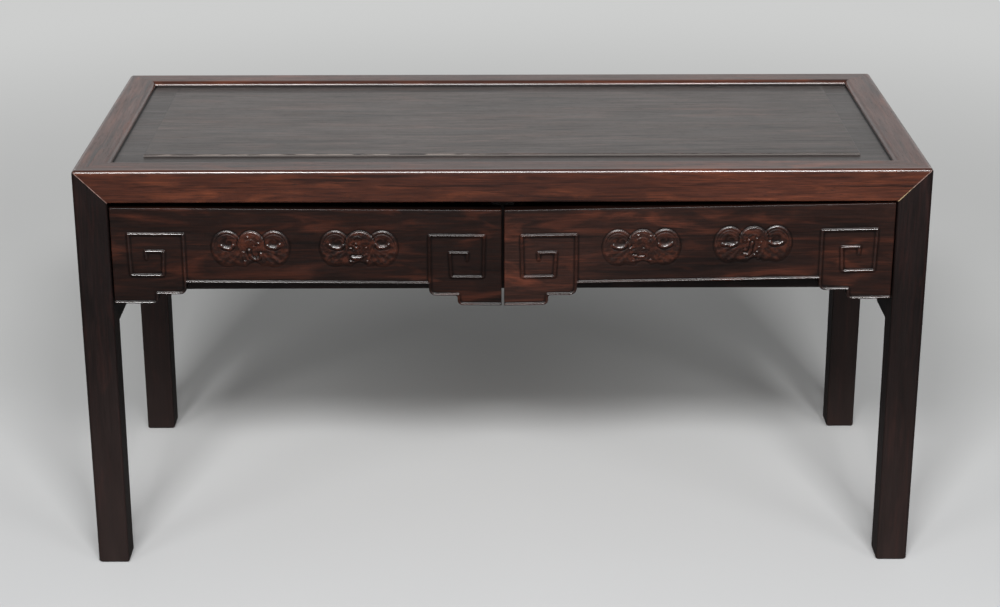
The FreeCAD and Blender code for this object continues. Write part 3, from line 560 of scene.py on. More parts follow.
class CarvedBoard:
    """Stepped board with key frets, laid out in mm: u along it from its middle, v up."""

    def __init__(self, half_length, low, top, shape):
        self.half_length = half_length / MM
        self.top = top / MM
        self.middle, self.scroll, self.fret_top = (self.top - drop for drop in shape["drops"])
        self.step = low / MM - shape["reach_below"]
        self.scroll_width, self.step_width = shape["widths"]
        self.fine_step = shape["fine_step"]
        self.bats = []

    def outline(self):
        end = self.half_length
        right = [
            (end, self.top, END_CORNER_RADIUS),
            (end, self.step, END_CORNER_RADIUS),
            (end - self.step_width, self.step, STEP_CORNER_RADIUS),
            (end - self.step_width, self.scroll, HOLLOW_CORNER_RADIUS),
            (end - self.scroll_width, self.scroll, SCROLL_CORNER_RADIUS),
            (end - self.scroll_width, self.middle, HOLLOW_CORNER_RADIUS),
        ]
        left = [(-u, v, radius) for u, v, radius in reversed(right)]
        return rounded_outline(right + left)

    def bead_paths(self):
        inset = BEAD_MARGIN + BEAD_WIDTH / 2
        end = -self.half_length
        step_side = end + self.step_width - inset
        scroll_side = end + self.scroll_width - inset
        step_line = self.step + inset
        scroll_line = self.scroll + inset
        step_cut = STEP_CORNER_RADIUS - inset
        scroll_cut = SCROLL_CORNER_RADIUS - inset
        path = [(end + inset, step_line), (step_side - step_cut, step_line)]
        path += arc_points((step_side - step_cut, step_line + step_cut), step_cut)
        path += [(step_side, scroll_line), (scroll_side - scroll_cut, scroll_line)]
        path += arc_points((scroll_side - scroll_cut, scroll_line + scroll_cut), scroll_cut)
        fret_height = self.fret_top - scroll_line
        for across_share, up_share in FRET_TURN_SHARES:
            across = (self.scroll_width - inset) * across_share
            path.append((end + across, scroll_line + fret_height * up_share))
        mirrored = [(-u, v) for u, v in path]
        edge = [(scroll_side, self.middle + inset), (-scroll_side, self.middle + inset)]
        return [path, mirrored, edge]

    def grid(self):
        """Lines of the grid, close together over the frets and bats."""
        end = self.half_length
        scroll_end = end - self.scroll_width
        inner = scroll_end - HOLLOW_CORNER_RADIUS - BEAD_WIDTH
        marks = [inner, scroll_end, end - self.step_width, end]
        spans = [(low, high, self.fine_step) for low, high in zip(marks, marks[1:])]
        spans += [(-high, -low, step) for low, high, step in spans]
        spans += [(u - BAT_HALF_LENGTH, u + BAT_HALF_LENGTH, BAT_STEP) for u, _, _, _ in self.bats]
        spans.sort()
        marks, steps = [spans[0][0]], []
        for low, high, step in spans:
            if low > marks[-1] + 1e-6:
                marks.append(low)
                steps.append(COARSE_STEP)
            marks.append(high)
            steps.append(step)
        u_lines = spaced(marks, steps)
        upper = max([self.fret_top + BEAD_WIDTH] + [v + BAT_HALF_HEIGHT for _, v, _, _ in self.bats])
        marks = [self.step, self.scroll, self.middle, upper, self.top - EDGE_ROUND, self.top]
        v_lines = spaced(marks, [self.fine_step] * 3 + [COARSE_STEP, EDGE_ROUND / 2])
        return u_lines, v_lines

    def relief(self, u, v, seed):
        """Height of the carving, and how much of it hands have rubbed."""
        height = GROUND_TEXTURE * waviness(u, v, seed)
        nearest = np.full(u.shape, np.inf)
        turn = np.full(u.shape, np.inf)
        for path in self.bead_paths():
            nearest = np.minimum(nearest, path_distance(u, v, path)[0])
            for turn_u, turn_v in path[-len(FRET_TURN_SHARES):]:
                turn = np.minimum(turn, np.hypot(u - turn_u, v - turn_v))
        groove_at = BEAD_WIDTH / 2 + BEAD_GROOVE_WIDTH * BEAD_GROOVE_SHARE
        height += ridge(nearest, groove_at, BEAD_GROOVE_WIDTH, -BEAD_GROOVE_DEPTH)
        height = np.maximum(height, bead(nearest, BEAD_WIDTH / 2, BEAD_RISE))
        height += KNUCKLE_SHARE * raised(turn, KNUCKLE_REACH)
        worn = np.zeros(u.shape)
        for bat_u, bat_v, bat, bat_seed in self.bats:
            near = (np.abs(u - bat_u) < BAT_WINDOW[0]) & (np.abs(v - bat_v) < BAT_WINDOW[1])
            carved = np.zeros(u.shape)
            carved[near] = bat_relief(u[near] - bat_u, v[near] - bat_v, bat, bat_seed)
            height += carved
            worn = np.maximum(worn, fade("worn", carved))
        return height, worn

    def surface(self, seed):
        """Points (u, v, height), relief and wear, and the quads between them, cut to the outline."""
        u_lines, v_lines = self.grid()
        u, v = np.meshgrid(u_lines, v_lines)
        outline = self.outline()
        distance, near_u, near_v = path_distance(u, v, np.vstack([outline, outline[:1]]))
        within = inside(u, v, outline) | (distance < 1e-6)
        height, worn = self.relief(u, v, seed)
        height = softened(height)
        patina_and_shade = height - softened(height, HALO_PASSES)
        outside = ~within & (distance < self.fine_step)
        moved = outside | (within & (distance < SKIN_SHARE * self.fine_step))
        u = np.where(moved, near_u, u)
        v = np.where(moved, near_v, v)
        inset = np.clip(EDGE_ROUND - np.where(moved, 0.0, distance), 0.0, EDGE_ROUND)
        height = height - (EDGE_ROUND - np.sqrt(np.maximum(EDGE_ROUND ** 2 - inset ** 2, 0.0)))
        used = within | outside
        middles = np.meshgrid((u_lines[1:] + u_lines[:-1]) / 2, (v_lines[1:] + v_lines[:-1]) / 2)
        cells = inside(*middles, outline)
        cells &= used[:-1, :-1] & used[1:, :-1] & used[:-1, 1:] & used[1:, 1:]
        index = np.arange(u.size).reshape(u.shape)
        corners = [index[:-1, :-1], index[:-1, 1:], index[1:, 1:], index[1:, :-1]]
        quads = np.stack(corners, axis=-1)[cells]
        wanted = np.unique(quads)
        renumber = np.full(u.size, -1)
        renumber[wanted] = np.arange(wanted.size)
        values = [grid.ravel()[wanted] for grid in (u, v, height, patina_and_shade, worn)]
        return values, renumber[quads].tolist()


def carved_mesh(name, board, place, seed, sag=0.0, lift=0.0):
    """Closed mesh of a carved board. place maps (u, v, outward) in mm to a point in metres."""
    (u, v, height, patina_and_shade, worn), quads = board.surface(seed)
    v = v + lift + sag * u / board.half_length
    mesh = bpy.data.meshes.new(name)
    mesh.from_pydata([tuple(place(*point)) for point in zip(u, v, height)], [], quads)
    for label, values in (("relief", patina_and_shade), ("worn", worn)):
        layer = mesh.attributes.new(label, "FLOAT", "POINT")
        layer.data.foreach_set("value", values.astype(np.float32))
    close_behind(mesh, (Vector(place(0, 0, -1)) - Vector(place(0, 0, 0))).normalized())
    piece = bpy.data.objects.new(name, mesh)
    bpy.context.scene.collection.objects.link(piece)
    return piece


def close_behind(mesh, inward):
    """Give a carved face its walls and a flat back."""
    bm = bmesh.new()
    bm.from_mesh(mesh)
    bmesh.ops.remove_doubles(bm, verts=bm.verts, dist=WELD_GAP * MM)
    rim = [edge for edge in bm.edges if len(edge.link_faces) == 1]
    face_level = max(vert.co.dot(-inward) for edge in rim for vert in edge.verts)
    made = bmesh.ops.extrude_edge_only(bm, edges=rim)["geom"]
    back_level = face_level - BOARD_THICKNESS * MM
    relief = bm.verts.layers.float["relief"]
    for vert in (item for item in made if isinstance(item, bmesh.types.BMVert)):
        vert.co += inward * (vert.co.dot(-inward) - back_level)
        # The walls and back are painted in full shade, dark and dull
        vert[relief] = WALL_SHADE_RELIEF
    new_edges = [item for item in made if isinstance(item, bmesh.types.BMEdge)]
    behind = [edge for edge in new_edges if len(edge.link_faces) == 1]
    bmesh.ops.contextual_create(bm, geom=behind)
    bmesh.ops.recalc_face_normals(bm, faces=bm.faces)
    for face in bm.faces:
        face.smooth = True
    for edge in behind:
        edge.smooth = False
    # Faces in the same order each run
    bm.verts.index_update()
    bm.faces.sort(key=face_rank)
    bm.to_mesh(mesh)
    bm.free()


def face_rank(face):
    """Place of a face in the order of faces, from the numbers of its points."""
    points = [vert.index for vert in face.verts]
    return min(points) * RANK_STEP + sum(points)


def drawer_front(hand):
    """Carved front that stands for one drawer's CAD front."""
    node = f"{hand}_drawer_front"
    low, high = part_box(node)
    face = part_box("front_lower_rail")[0].y - (CLOSED_GAP + BOARD_THICKNESS) * MM
    middle = (low.x + high.x) / 2
    board = CarvedBoard((high.x - low.x) / 2, low.z, high.z, FRONT_SHAPE)
    for index, bat in enumerate(BATS[hand]):
        u, drop = bat["place"]
        board.bats.append((u, board.top - drop, bat, SEEDS[hand] + index * BAT_SEED_STEP))
    piece = carved_mesh(
        f"{hand}_drawer_carved_front",
        board,
        lambda u, v, out: (middle + u * MM, face - out * MM, v * MM),
        SEEDS[hand],
        DRAWER_SAG[hand],
        DRAWER_LIFT[hand],
    )
    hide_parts(node)
    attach(piece, f"{hand}_drawer")
    return piece


def carved_apron(node, side, place):
    """Carved apron that stands for a CAD apron. side is half the length of that side of the table."""
    half_length = side - member + APRON_END_LAP * MM
    board = CarvedBoard(half_length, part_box(node)[0].z, frame_top - member, APRON_SHAPE)
    piece = carved_mesh(node + "_carved", board, place, APRON_SEEDS[node])
    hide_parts(node)
    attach(piece, "carcass")
    return piece


def carved_boards():
    """Every carved board, with the axis of its grain and the shade of its wood."""
    made = [(drawer_front(hand), "X", FRONT_SHADES[hand]) for hand in ("left", "right")]
    rear = half_depth - APRON_RECESS * MM
    back = carved_apron("back_apron", half_width, lambda u, v, out: (-u * MM, rear + out * MM, v * MM))
    made.append((back, "X", 1.0))
    end = half_width - APRON_RECESS * MM
    for node, side in (("left_apron", -1), ("right_apron", 1)):
        apron = carved_apron(
            node, half_depth, lambda u, v, out: (side * (end + out * MM), side * u * MM, v * MM)
        )
        made.append((apron, "Y", 1.0))
    return made


# Colours of each finish: dark vein, ground and warm streak, the shares of its patches, veins and streaks,
# and its roughness from the least to the most
FINISHES = {
    "frame_hardwood": {
        "dark": (0.013, 0.006, 0.005), "ground": (0.055, 0.0165, 0.0095), "warm": (0.13, 0.035, 0.015),
        "patch": 0.8, "vein": 0.85, "streak": 0.3, "rough": (0.3, 0.42),
    },
    "panel_hardwood": {
        "dark": (0.012, 0.01, 0.0095), "ground": (0.046, 0.035, 0.031), "warm": (0.095, 0.06, 0.05),
        "patch": 0.5, "vein": 0.7, "streak": 0.25, "rough": (0.33, 0.5),
    },
    "leg_hardwood": {
        "dark": (0.0042, 0.003, 0.003), "ground": (0.0095, 0.0054, 0.005), "warm": (0.026, 0.0088, 0.007),
        "patch": 0.5, "vein": 0.5, "streak": 0.15, "rough": (0.32, 0.46),
    },
    "carved_hardwood": {
        "dark": (0.006, 0.0034, 0.0029), "ground": (0.0175, 0.007, 0.005), "warm": (0.076, 0.02, 0.01),
        "patch": 0.8, "vein": 0.7, "streak": 0.14, "rough": (0.3, 0.44),
    },
    "inner_softwood": {
        "dark": (0.085, 0.045, 0.025), "ground": (0.175, 0.1, 0.057), "warm": (0.235, 0.145, 0.085),
        "patch": 0.5, "vein": 0.4, "streak": 0.25, "rough": (0.62, 0.75),
    },
}
# Noises of the grain: repeats in a metre along it and across it, detail, roughness and distortion
GRAIN = {
    "figure": (5.0, 62.0, 5.0, 0.58, 0.8),
    "vein": (5.5, 150.0, 4.0, 0.6, 0.5),
    "streak": (15.0, 330.0, 4.0, 0.6, 0.4),
    "fibre": (26.0, 780.0, 3.0, 0.65, 0.0),
    "patch": (11.0, 40.0, 3.0, 0.55, 0.9),
    "pore": (95.0, 1500.0, 2.0, 0.5, 0.0),
    "smear": (9.0, 40.0, 4.0, 0.6, 0.0),
    "broad": (2.4, 9.0, 2.0, 0.5, 0.0),
    "mottle": (140.0, 190.0, 3.0, 0.6, 0.0),
    "dents": (14.0, 30.0, 2.0, 0.5, 0.0),
}
GRAIN_SHIFTS = (0.0, 40.0)
# Layers over the figure: noise, the values between which it fades in, and colour
LAYERS = (
    ("patch", 0.52, 0.74, "warm"),
    ("streak", 0.50, 0.66, "warm"),
    ("streak", 0.50, 0.34, "dark"),
    ("vein", 0.585, 0.69, "dark"),
)
FIGURE_STOPS = ((0.28, "dark"), (0.46, "ground"), (0.56, "ground"), (0.78, "warm"))
FIBRE_TONES = ((0.28, 0.58), (0.72, 1.38))
BROAD_TONES = ((0.32, 0.68), (0.68, 1.28))
PORE_BAND = (0.60, 0.72)
PORE_SHARE = 0.6
PORE_TONE = 0.45
PORE_ROUGHNESS = 0.25
STREAK_ROUGHNESS = 0.15
FIBRE_RELIEF = 0.5
GRAIN_BUMP = (0.35, 0.18)
DENT_BUMP = (0.5, 0.5)

# Gloss of the bare wood, and the wax over it
BASE_GLOSS = 0.24
FACE_WAX = 0.06
EDGE_WAX = 0.66
WAX_ROUGHNESS = 0.18
WAX_IOR = 1.75
WAX_STREAKS = (0.6, 0.8)

# Carving: relief that is raised or hollow, where it is rubbed, and its wax. Its hollows and the ground
# beside its beads are darkened with dark wax and painted shade, and its beads' sheen fades near the middle
# of the table as painted shade
RAISED_BAND = (0.04, 0.30)
HOLLOW_BAND = (0.06, 0.42)
HOLLOW_SHARE = 0.85
HOLLOW_TONE = 0.3
RUBBED_BAND = (0.44, 0.64)
RUBBED_SHARE = 0.45
WORN_LOSS = 0.55
# Sheen of the beads, less near the middle of the table: painted shade on their highlights
BEAD_SHEEN_FALLOFF_PLACES = (0.14, 0.34)
BEAD_SHEEN_MIDDLE = 0.12
BEAD_WAX_GAIN = 0.66
BAT_WAX_SHARE = 0.88
FRONT_SHADES = {"left": 0.55, "right": 1.1}

# Marks: how strongly each covers the wood, and its colour. The mitre mark is a dark joint; crevice,
# inner_face, margin and gap are painted shade; riser and worn_rim_highlight are painted highlights
MARKS = {
    "mitre": (0.8, (0.012, 0.008, 0.007)),
    "crevice": (0.97, (0.006, 0.004, 0.004)),
    "inner_face": (0.5, (0.012, 0.007, 0.006)),
    "riser": (0.9, (0.15, 0.135, 0.126)),
    "margin": (0.45, (0.02, 0.017, 0.017)),
    "worn_rim_highlight": (0.42, (0.3, 0.25, 0.22)),
    "gap": (0.93, (0.004, 0.003, 0.003)),
}
# Places of the marks on the frame and the legs, in metres
# The middle of the long rails is painted darker: painted shade, where the lamps light it less
MIDDLE_SHADE_PLACES = (0.06, 0.36)
MIDDLE_SHADE_SHARE = 0.42
DUST_HEIGHT = 0.34
DUST = (0.029, 0.019, 0.017)
DUST_SHARES = (0.2, 0.6)
ARRIS_REACH = (0.004, 0.006)
ARRIS_FRONT = (-0.205, -0.211)
ARRIS_ELSEWHERE = 0.3
INNER_ARRIS_REACH = (0.004, 0.002)
INNER_ARRIS_SHARE = 0.45
ARRIS_SMOOTHING = 0.99
FRONT_MITRE_WIDTH = 0.75 * MM
MITRE_WIDTH = 0.7 * MM
# Inner faces of the frame, and the crevice at their foot, get painted shade
INNER_FACE_SKIN = 0.0006
INNER_FACE_REACH = (0.0030, 0.0060)
CREVICE_REACH = (0.0028, 0.0016)
# Pale line along the front mitres: a painted highlight, with pale wax and dust low on its right part
MITRE_HIGHLIGHT_AND_WAX = (0.26, 0.17, 0.145)
LOW_MITRE_WAX = (0.56, 0.43, 0.24)
LOW_MITRE_DROP = (0.018, 0.030)
RIGHT_HALF = (-0.01, 0.01)
MITRE_NOISE = (160.0, 2.0)
MITRE_PATCHES = (0.34, 0.58)
MITRE_LINE_SHARES = (0.24, 0.5)
# Height of the frame's inner face above the sunk margin of the panel
RISER = frame_top - field_level + FIELD_RISE * MM

# Places of the marks on the panel, in metres
# Painted shade in the gap round the panel
GAP_REACH = (0.0010, 0.0024)
FIELD_SKIN = 0.0004
# Line at the foot of the raised field: painted shade, and painted light at its right end
FOOT_REACH = (0.0010, 0.0022)
FOOT_DROP = (0.0, 0.0006)
FOOT_PLACES = (-0.139, -0.135)
FOOT_FRONT = 0.04
FOOT_SHARE = 0.6
FOOT_DARK = (0.010, 0.008, 0.008)
FOOT_PALE = (0.120, 0.110, 0.102)
FOOT_PALE_PLACES = (0.30, 0.34)
# Pale front and back risers of the field: painted highlight
RISER_REACH = (0.0003, 0.0008)
RISER_TOP = (0.0004, 0.0010)
RISER_BOTTOM = (0.0018, 0.0026)
# Darker sunk margin: painted shade
MARGIN_DROP = (0.0008, 0.0020)
# Pale patches along the front arris of the raised field: painted highlight on a worn edge
RIM_HIGHLIGHT_INSET = 0.5
RIM_HIGHLIGHT_REACH = (0.0005, 0.0012)
RIM_HIGHLIGHT_DROP = (0.0012, 0.0007)
RIM_HIGHLIGHT_FRONT = (-0.1, -0.11)
RIM_HIGHLIGHT_LEFT = (-0.07, 0.02)
RIM_HIGHLIGHT_ELSEWHERE = 0.15
RIM_HIGHLIGHT_PATCHES = (0.42, 0.56)
RIM_HIGHLIGHT_GRAIN = (40.0, 300.0, (3.0, 5.0, 7.0))
RIM_HIGHLIGHT_DETAIL = 3.0

GRAIN_TURN = {"X": (0, 0, 0), "Y": (0, 0, -math.pi / 2), "Z": (0, math.pi / 2, 0)}
# Ends of the names of the pieces whose grain runs along X and Z. In all others it runs along Y.
GRAIN_ENDINGS = {"X": ("_top_rail", "_lower_rail", "top_panel", "_back", "_bottom"), "Z": ("_leg", "_stile")}


def maths(operation, swapped=False):
    """Method of Value that adds a math node. swapped puts the other value first."""
    def method(self, other=0.0):
        first, second = (other, self) if swapped else (self, other)
        return self.shader.out(0, "ShaderNodeMath", {0: first, 1: second}, operation=operation)
    return method


class Value:
    """A value in a node tree. Sums, products and comparisons with it become nodes."""

    def __init__(self, shader, socket):
        self.shader = shader
        self.socket = socket

    __add__ = maths("ADD")
    __radd__ = maths("ADD", swapped=True)
    __sub__ = maths("SUBTRACT")
    __rsub__ = maths("SUBTRACT", swapped=True)
    __mul__ = maths("MULTIPLY")
    __rmul__ = maths("MULTIPLY", swapped=True)
    __gt__ = maths("GREATER_THAN")
    __lt__ = maths("LESS_THAN")
    __abs__ = maths("ABSOLUTE")
    least = maths("MINIMUM")
    most = maths("MAXIMUM")

    def band(self, low, high):
        """0 at low, 1 at high, smooth between."""
        inputs = {"Value": self, "From Min": low, "From Max": high}
        return self.shader.out("Result", "ShaderNodeMapRange", inputs, interpolation_type="SMOOTHSTEP")

    def near(self, full, none):
        """1 up to full, 0 from none on."""
        return 1.0 - self.band(full, none)


class Shader:
    """Builder of the node tree of a material or of the world."""

    def __init__(self, owner, coordinates="Object"):
        owner.use_nodes = True
        self.owner = owner
        self.tree = owner.node_tree
        self.place = self.out(coordinates, "ShaderNodeTexCoord")
        split = self.node("ShaderNodeSeparateXYZ", {0: self.place})
        self.x, self.y, self.z = (Value(self, socket) for socket in split.outputs)

    def node(self, kind, inputs, **settings):
        """New node with its settings, and a number, colour or Value for each named input."""
        made = self.tree.nodes.new(kind)
        for key, value in settings.items():
            setattr(made, key, value)
        for name, value in inputs.items():
            self.feed(made, name, value)
        return made

    def out(self, output, kind, inputs=None, **settings):
        """Value at one output of a new node."""
        return Value(self, self.node(kind, inputs or {}, **settings).outputs[output])

    def feed(self, node, name, value):
        """Feed one input of a node, which may be given by its name."""
        node = self.tree.nodes[node] if isinstance(node, str) else node
        if isinstance(value, Value):
            self.tree.links.new(value.socket, node.inputs[name])
        else:
            node.inputs[name].default_value = value

    def surface(self, name, value):
        self.feed("Principled BSDF", name, value)

    def noise(self, vector, scale, detail, roughness=0.5, distortion=0.0):
        inputs = {"Vector": vector, "Scale": scale, "Detail": detail, "Roughness": roughness}
        return self.out("Fac", "ShaderNodeTexNoise", {**inputs, "Distortion": distortion})

    def turn_grain(self, axis):
        """Lay the grain along one axis of the table."""
        inputs = {"Vector": self.place, "Rotation": GRAIN_TURN[axis]}
        self.grain = self.out("Vector", "ShaderNodeMapping", inputs, vector_type="POINT")

    def stretched(self, along, across, shift):
        """Coordinates with x along the grain, scaled apart along and across it."""
        inputs = {"Vector": self.grain, "Scale": (along, across, across), "Location": shift}
        return self.out("Vector", "ShaderNodeMapping", inputs)

    def grain_noise(self, kind, rng):
        """One noise of the grain, at a place of its own."""
        along, across, detail, roughness, distortion = GRAIN[kind]
        shift = tuple(rng.uniform(*GRAIN_SHIFTS, 3))
        return self.noise(self.stretched(along, across, shift), 1.0, detail, roughness, distortion)

    def ramp(self, factor, stops):
        made = self.node("ShaderNodeValToRGB", {"Fac": factor})
        elements = made.color_ramp.elements
        while len(elements) < len(stops):
            elements.new(0.5)
        for element, (place, colour) in zip(elements, stops):
            element.position = place
            element.color = (*colour, 1.0)
        return Value(self, made.outputs["Color"])

    def tones(self, factor, stops, shade=1.0):
        """Greys to multiply a colour by."""
        return self.ramp(factor, [(place, (tone * shade,) * 3) for place, tone in stops])

    def mix(self, factor, first, second, blend="MIX"):
        inputs = {"Factor": factor}
        for name, colour in (("A", first), ("B", second)):
            inputs[name] = colour if isinstance(colour, Value) else (*colour, 1.0)
        return self.out("Result", "ShaderNodeMix", inputs, data_type="RGBA", blend_type=blend)

    def marked(self, colour, mark, mask):
        """Colour with one of the marks laid over it."""
        share, tint = MARKS[mark]
        return self.mix(mask * share, colour, tint)

    def bump(self, height, bump, evenness, **normal):
        """Normal of a rough surface. bump is its strength and its depth in mm."""
        strength, depth = bump
        inputs = {"Strength": evenness * strength, "Distance": depth * MM, "Height": height, **normal}
        return self.out("Normal", "ShaderNodeBump", inputs)


def wood(name, slot, axis, seed, mitred=False, carved=False, shade=1.0):
    """Waxed old hardwood, or raw softwood, with its grain along one axis."""
    finish = FINISHES[slot]
    rng = np.random.default_rng(seed)
    shader = Shader(bpy.data.materials.new(name))
    shader.turn_grain(axis)
    noise = {kind: shader.grain_noise(kind, rng) for kind in GRAIN if carved or kind != "mottle"}
    pores = noise["pore"].band(*PORE_BAND) * PORE_SHARE
    colour = grain_colour(shader, finish, noise, pores, shade)
    polish = FACE_WAX
    evenness = 1.0
    if carved:
        colour, polish = carved_finish(shader, colour, finish, noise["mottle"])
    if slot == "panel_hardwood":
        colour = panel_marks(shader, colour)
    if slot == "leg_hardwood":
        least, gain = DUST_SHARES
        dusty = shader.z.near(0.0, DUST_HEIGHT) * (least + noise["smear"] * gain)
        colour = shader.mix(dusty, colour, DUST)
    if mitred:
        if axis == "X":
            # Painted shade on the middle of the long rails
            colour = shader.mix(abs(shader.x).near(*MIDDLE_SHADE_PLACES) * MIDDLE_SHADE_SHARE, colour, finish["dark"])
        colour = mitre_marks(shader, colour)
        arris = arris_mask(shader)
        polish = FACE_WAX + arris * (EDGE_WAX - FACE_WAX)
        evenness = 1.0 - arris * ARRIS_SMOOTHING
    shader.surface("Base Color", colour)
    low, high = finish["rough"]
    rough = low + noise["smear"] * (high - low) + pores * PORE_ROUGHNESS
    shader.surface("Roughness", rough + (0.5 - noise["streak"]) * STREAK_ROUGHNESS)
    shader.surface("Specular IOR Level", BASE_GLOSS)
    if slot != "inner_softwood":
        least, gain = WAX_STREAKS
        shader.surface("Coat Weight", polish * (least + noise["streak"] * gain))
        shader.surface("Coat Roughness", WAX_ROUGHNESS)
        shader.surface("Coat IOR", WAX_IOR)
    grain = shader.bump(noise["fibre"] * FIBRE_RELIEF - pores, GRAIN_BUMP, evenness)
    shader.surface("Normal", shader.bump(noise["dents"], DENT_BUMP, evenness, Normal=grain))
    return shader.owner


def grain_colour(shader, finish, noise, pores, shade):
    """Colour of the wood from its figure, patches, streaks, veins, fibres and pores."""
    colour = shader.ramp(noise["figure"], [(place, finish[tint]) for place, tint in FIGURE_STOPS])
    for kind, low, high, tint in LAYERS:
        colour = shader.mix(noise[kind].band(low, high) * finish[kind], colour, finish[tint])
    colour = shader.mix(1.0, colour, shader.tones(noise["fibre"], FIBRE_TONES), "MULTIPLY")
    colour = shader.mix(1.0, colour, shader.tones(noise["broad"], BROAD_TONES, shade), "MULTIPLY")
    return shader.mix(pores, colour, [part * PORE_TONE for part in finish["dark"]])


def carved_finish(shader, colour, finish, mottle):
    """Colour and wax of the carving: warm where it is rubbed, dark and dull in its hollows, with dark wax
    and painted shade there.
    """
    relief = shader.out("Fac", "ShaderNodeAttribute", attribute_name="relief")
    worn = shader.out("Fac", "ShaderNodeAttribute", attribute_name="worn")
    colour = shader.mix(worn * mottle.band(*RUBBED_BAND) * RUBBED_SHARE, colour, finish["warm"])
    # Darkening in the hollows and beside the beads: dark wax, and painted shade
    hollow = (relief * -1.0).band(*HOLLOW_BAND)
    colour = shader.mix(hollow * HOLLOW_SHARE, colour, [part * HOLLOW_TONE for part in finish["dark"]])
    # Wax sheen on the beads is cut near the middle of the table, where it stands in for dimmer light:
    # painted shade on the beads' highlights there. The wax is even on the bats
    lit_ends = abs(shader.x).band(*BEAD_SHEEN_FALLOFF_PLACES) * (1.0 - worn)
    wax_and_falloff = BEAD_SHEEN_MIDDLE + (lit_ends + worn * BAT_WAX_SHARE) * BEAD_WAX_GAIN
    polish = (FACE_WAX + relief.band(*RAISED_BAND) * wax_and_falloff) * (1.0 - hollow) * (1.0 - worn * WORN_LOSS)
    return colour, polish


def corner_distances(shader):
    """Distances from the outer end, front and top planes of the table to a shaded point."""
    return half_width - abs(shader.x), half_depth - abs(shader.y), frame_top - shader.z


def arris_mask(shader):
    """1 on the rounded arrises round the top of the frame, where hands and cloths polish the wood."""
    along, inward, down = corner_distances(shader)
    outer = along.least(inward).most(down).near(*ARRIS_REACH)
    outer = outer * (ARRIS_ELSEWHERE + shader.y.band(*ARRIS_FRONT) * (1.0 - ARRIS_ELSEWHERE))
    low, high = (member - reach for reach in INNER_ARRIS_REACH)
    return outer.most(along.least(inward).band(low, high) * INNER_ARRIS_SHARE)


def mitre_line(first, second, third, width):
    """1 along the mitre where first and second are alike and third is the smallest."""
    line = abs(first - second).near(width * 0.5, width)
    nearest = first.least(second)
    return line * (nearest > third + width) * (nearest < member + width)


def mitre_marks(shader, colour):
    """Pale line along the front mitres: a painted highlight, with pale wax and dust low on the right. Dark
    lines in the other mitres, and painted shade on the inner faces of the frame and in the crevice at their
    foot.
    """
    along, inward, down = corner_distances(shader)
    front = mitre_line(along, down, inward, FRONT_MITRE_WIDTH)
    side = mitre_line(inward, down, along, MITRE_WIDTH)
    top = mitre_line(along, inward, down, MITRE_WIDTH)
    colour = shader.marked(colour, "mitre", side.most(top))
    # Painted shade on the inner faces of the frame and in the crevice at their foot
    inner_face = along.least(inward) > member - INNER_FACE_SKIN
    low, high = (RISER - reach for reach in CREVICE_REACH)
    colour = shader.marked(colour, "crevice", inner_face * down.band(low, high))
    colour = shader.marked(colour, "inner_face", inner_face * down.band(*INNER_FACE_REACH))
    # Painted highlight along the front mitres, with pale wax and dust low on the right
    low_right = shader.x.band(*RIGHT_HALF) * down.band(*LOW_MITRE_DROP)
    pale_mitre_line = shader.mix(low_right, MITRE_HIGHLIGHT_AND_WAX, LOW_MITRE_WAX)
    patchy = shader.noise(shader.place, *MITRE_NOISE).band(*MITRE_PATCHES)
    least, gain = MITRE_LINE_SHARES
    return shader.mix(front * (least + patchy * gain), colour, pale_mitre_line)


def panel_marks(shader, colour):
    """Painted shade in the gap round the panel, on its sunk margin and at the foot of its raised field;
    painted light on the field's risers, at the right end of that foot and along its worn front arris.
    """
    across = half_width - member - abs(shader.x)
    inward = half_depth - member - abs(shader.y)
    below_field = field_level - FIELD_SKIN - shader.z
    end_line = abs(across - FIELD_END_INSET * MM)
    side_line = abs(inward - FIELD_SIDE_INSET * MM)
    # Painted shade at the foot of the raised field, painted light at its right end
    foot = end_line.least(side_line).near(*FOOT_REACH) * below_field.band(*FOOT_DROP)
    behind_front = FOOT_FRONT + shader.y.band(*FOOT_PLACES)
    tint = shader.mix(shader.x.band(*FOOT_PALE_PLACES), FOOT_DARK, FOOT_PALE)
    colour = shader.mix(foot * (behind_front * FOOT_SHARE), colour, tint)
    # Painted highlight on the field's risers; below, painted shade on the sunk margin, a painted highlight
    # on its worn front arris, and painted shade in the gap round the panel
    riser = side_line.near(*RISER_REACH) * below_field.band(*RISER_TOP) * below_field.near(*RISER_BOTTOM)
    colour = shader.marked(colour, "riser", riser)
    colour = shader.marked(colour, "margin", below_field.band(*MARGIN_DROP))
    colour = shader.marked(colour, "worn_rim_highlight", worn_rim_highlight(shader, inward))
    return shader.marked(colour, "gap", across.least(inward).near(*GAP_REACH))


def worn_rim_highlight(shader, inward):
    """Painted highlight in patches along the worn front arris of the raised field, most of them on the left.
    """
    offset = abs(inward - (FIELD_SIDE_INSET + RIM_HIGHLIGHT_INSET) * MM)
    low, high = (field_level - drop for drop in RIM_HIGHLIGHT_DROP)
    rim = offset.near(*RIM_HIGHLIGHT_REACH) * shader.z.band(low, high)
    patchy = shader.noise(shader.stretched(*RIM_HIGHLIGHT_GRAIN), 1.0, RIM_HIGHLIGHT_DETAIL)
    patchy = patchy.band(*RIM_HIGHLIGHT_PATCHES)
    left = shader.x.near(*RIM_HIGHLIGHT_LEFT)
    return shader.y.band(*RIM_HIGHLIGHT_FRONT) * rim * (patchy * (left + RIM_HIGHLIGHT_ELSEWHERE))


def grain_axis(node):
    """Axis of the grain in a CAD piece."""
    for axis, endings in GRAIN_ENDINGS.items():
        if node.endswith(endings):
            return axis
    return "Y"


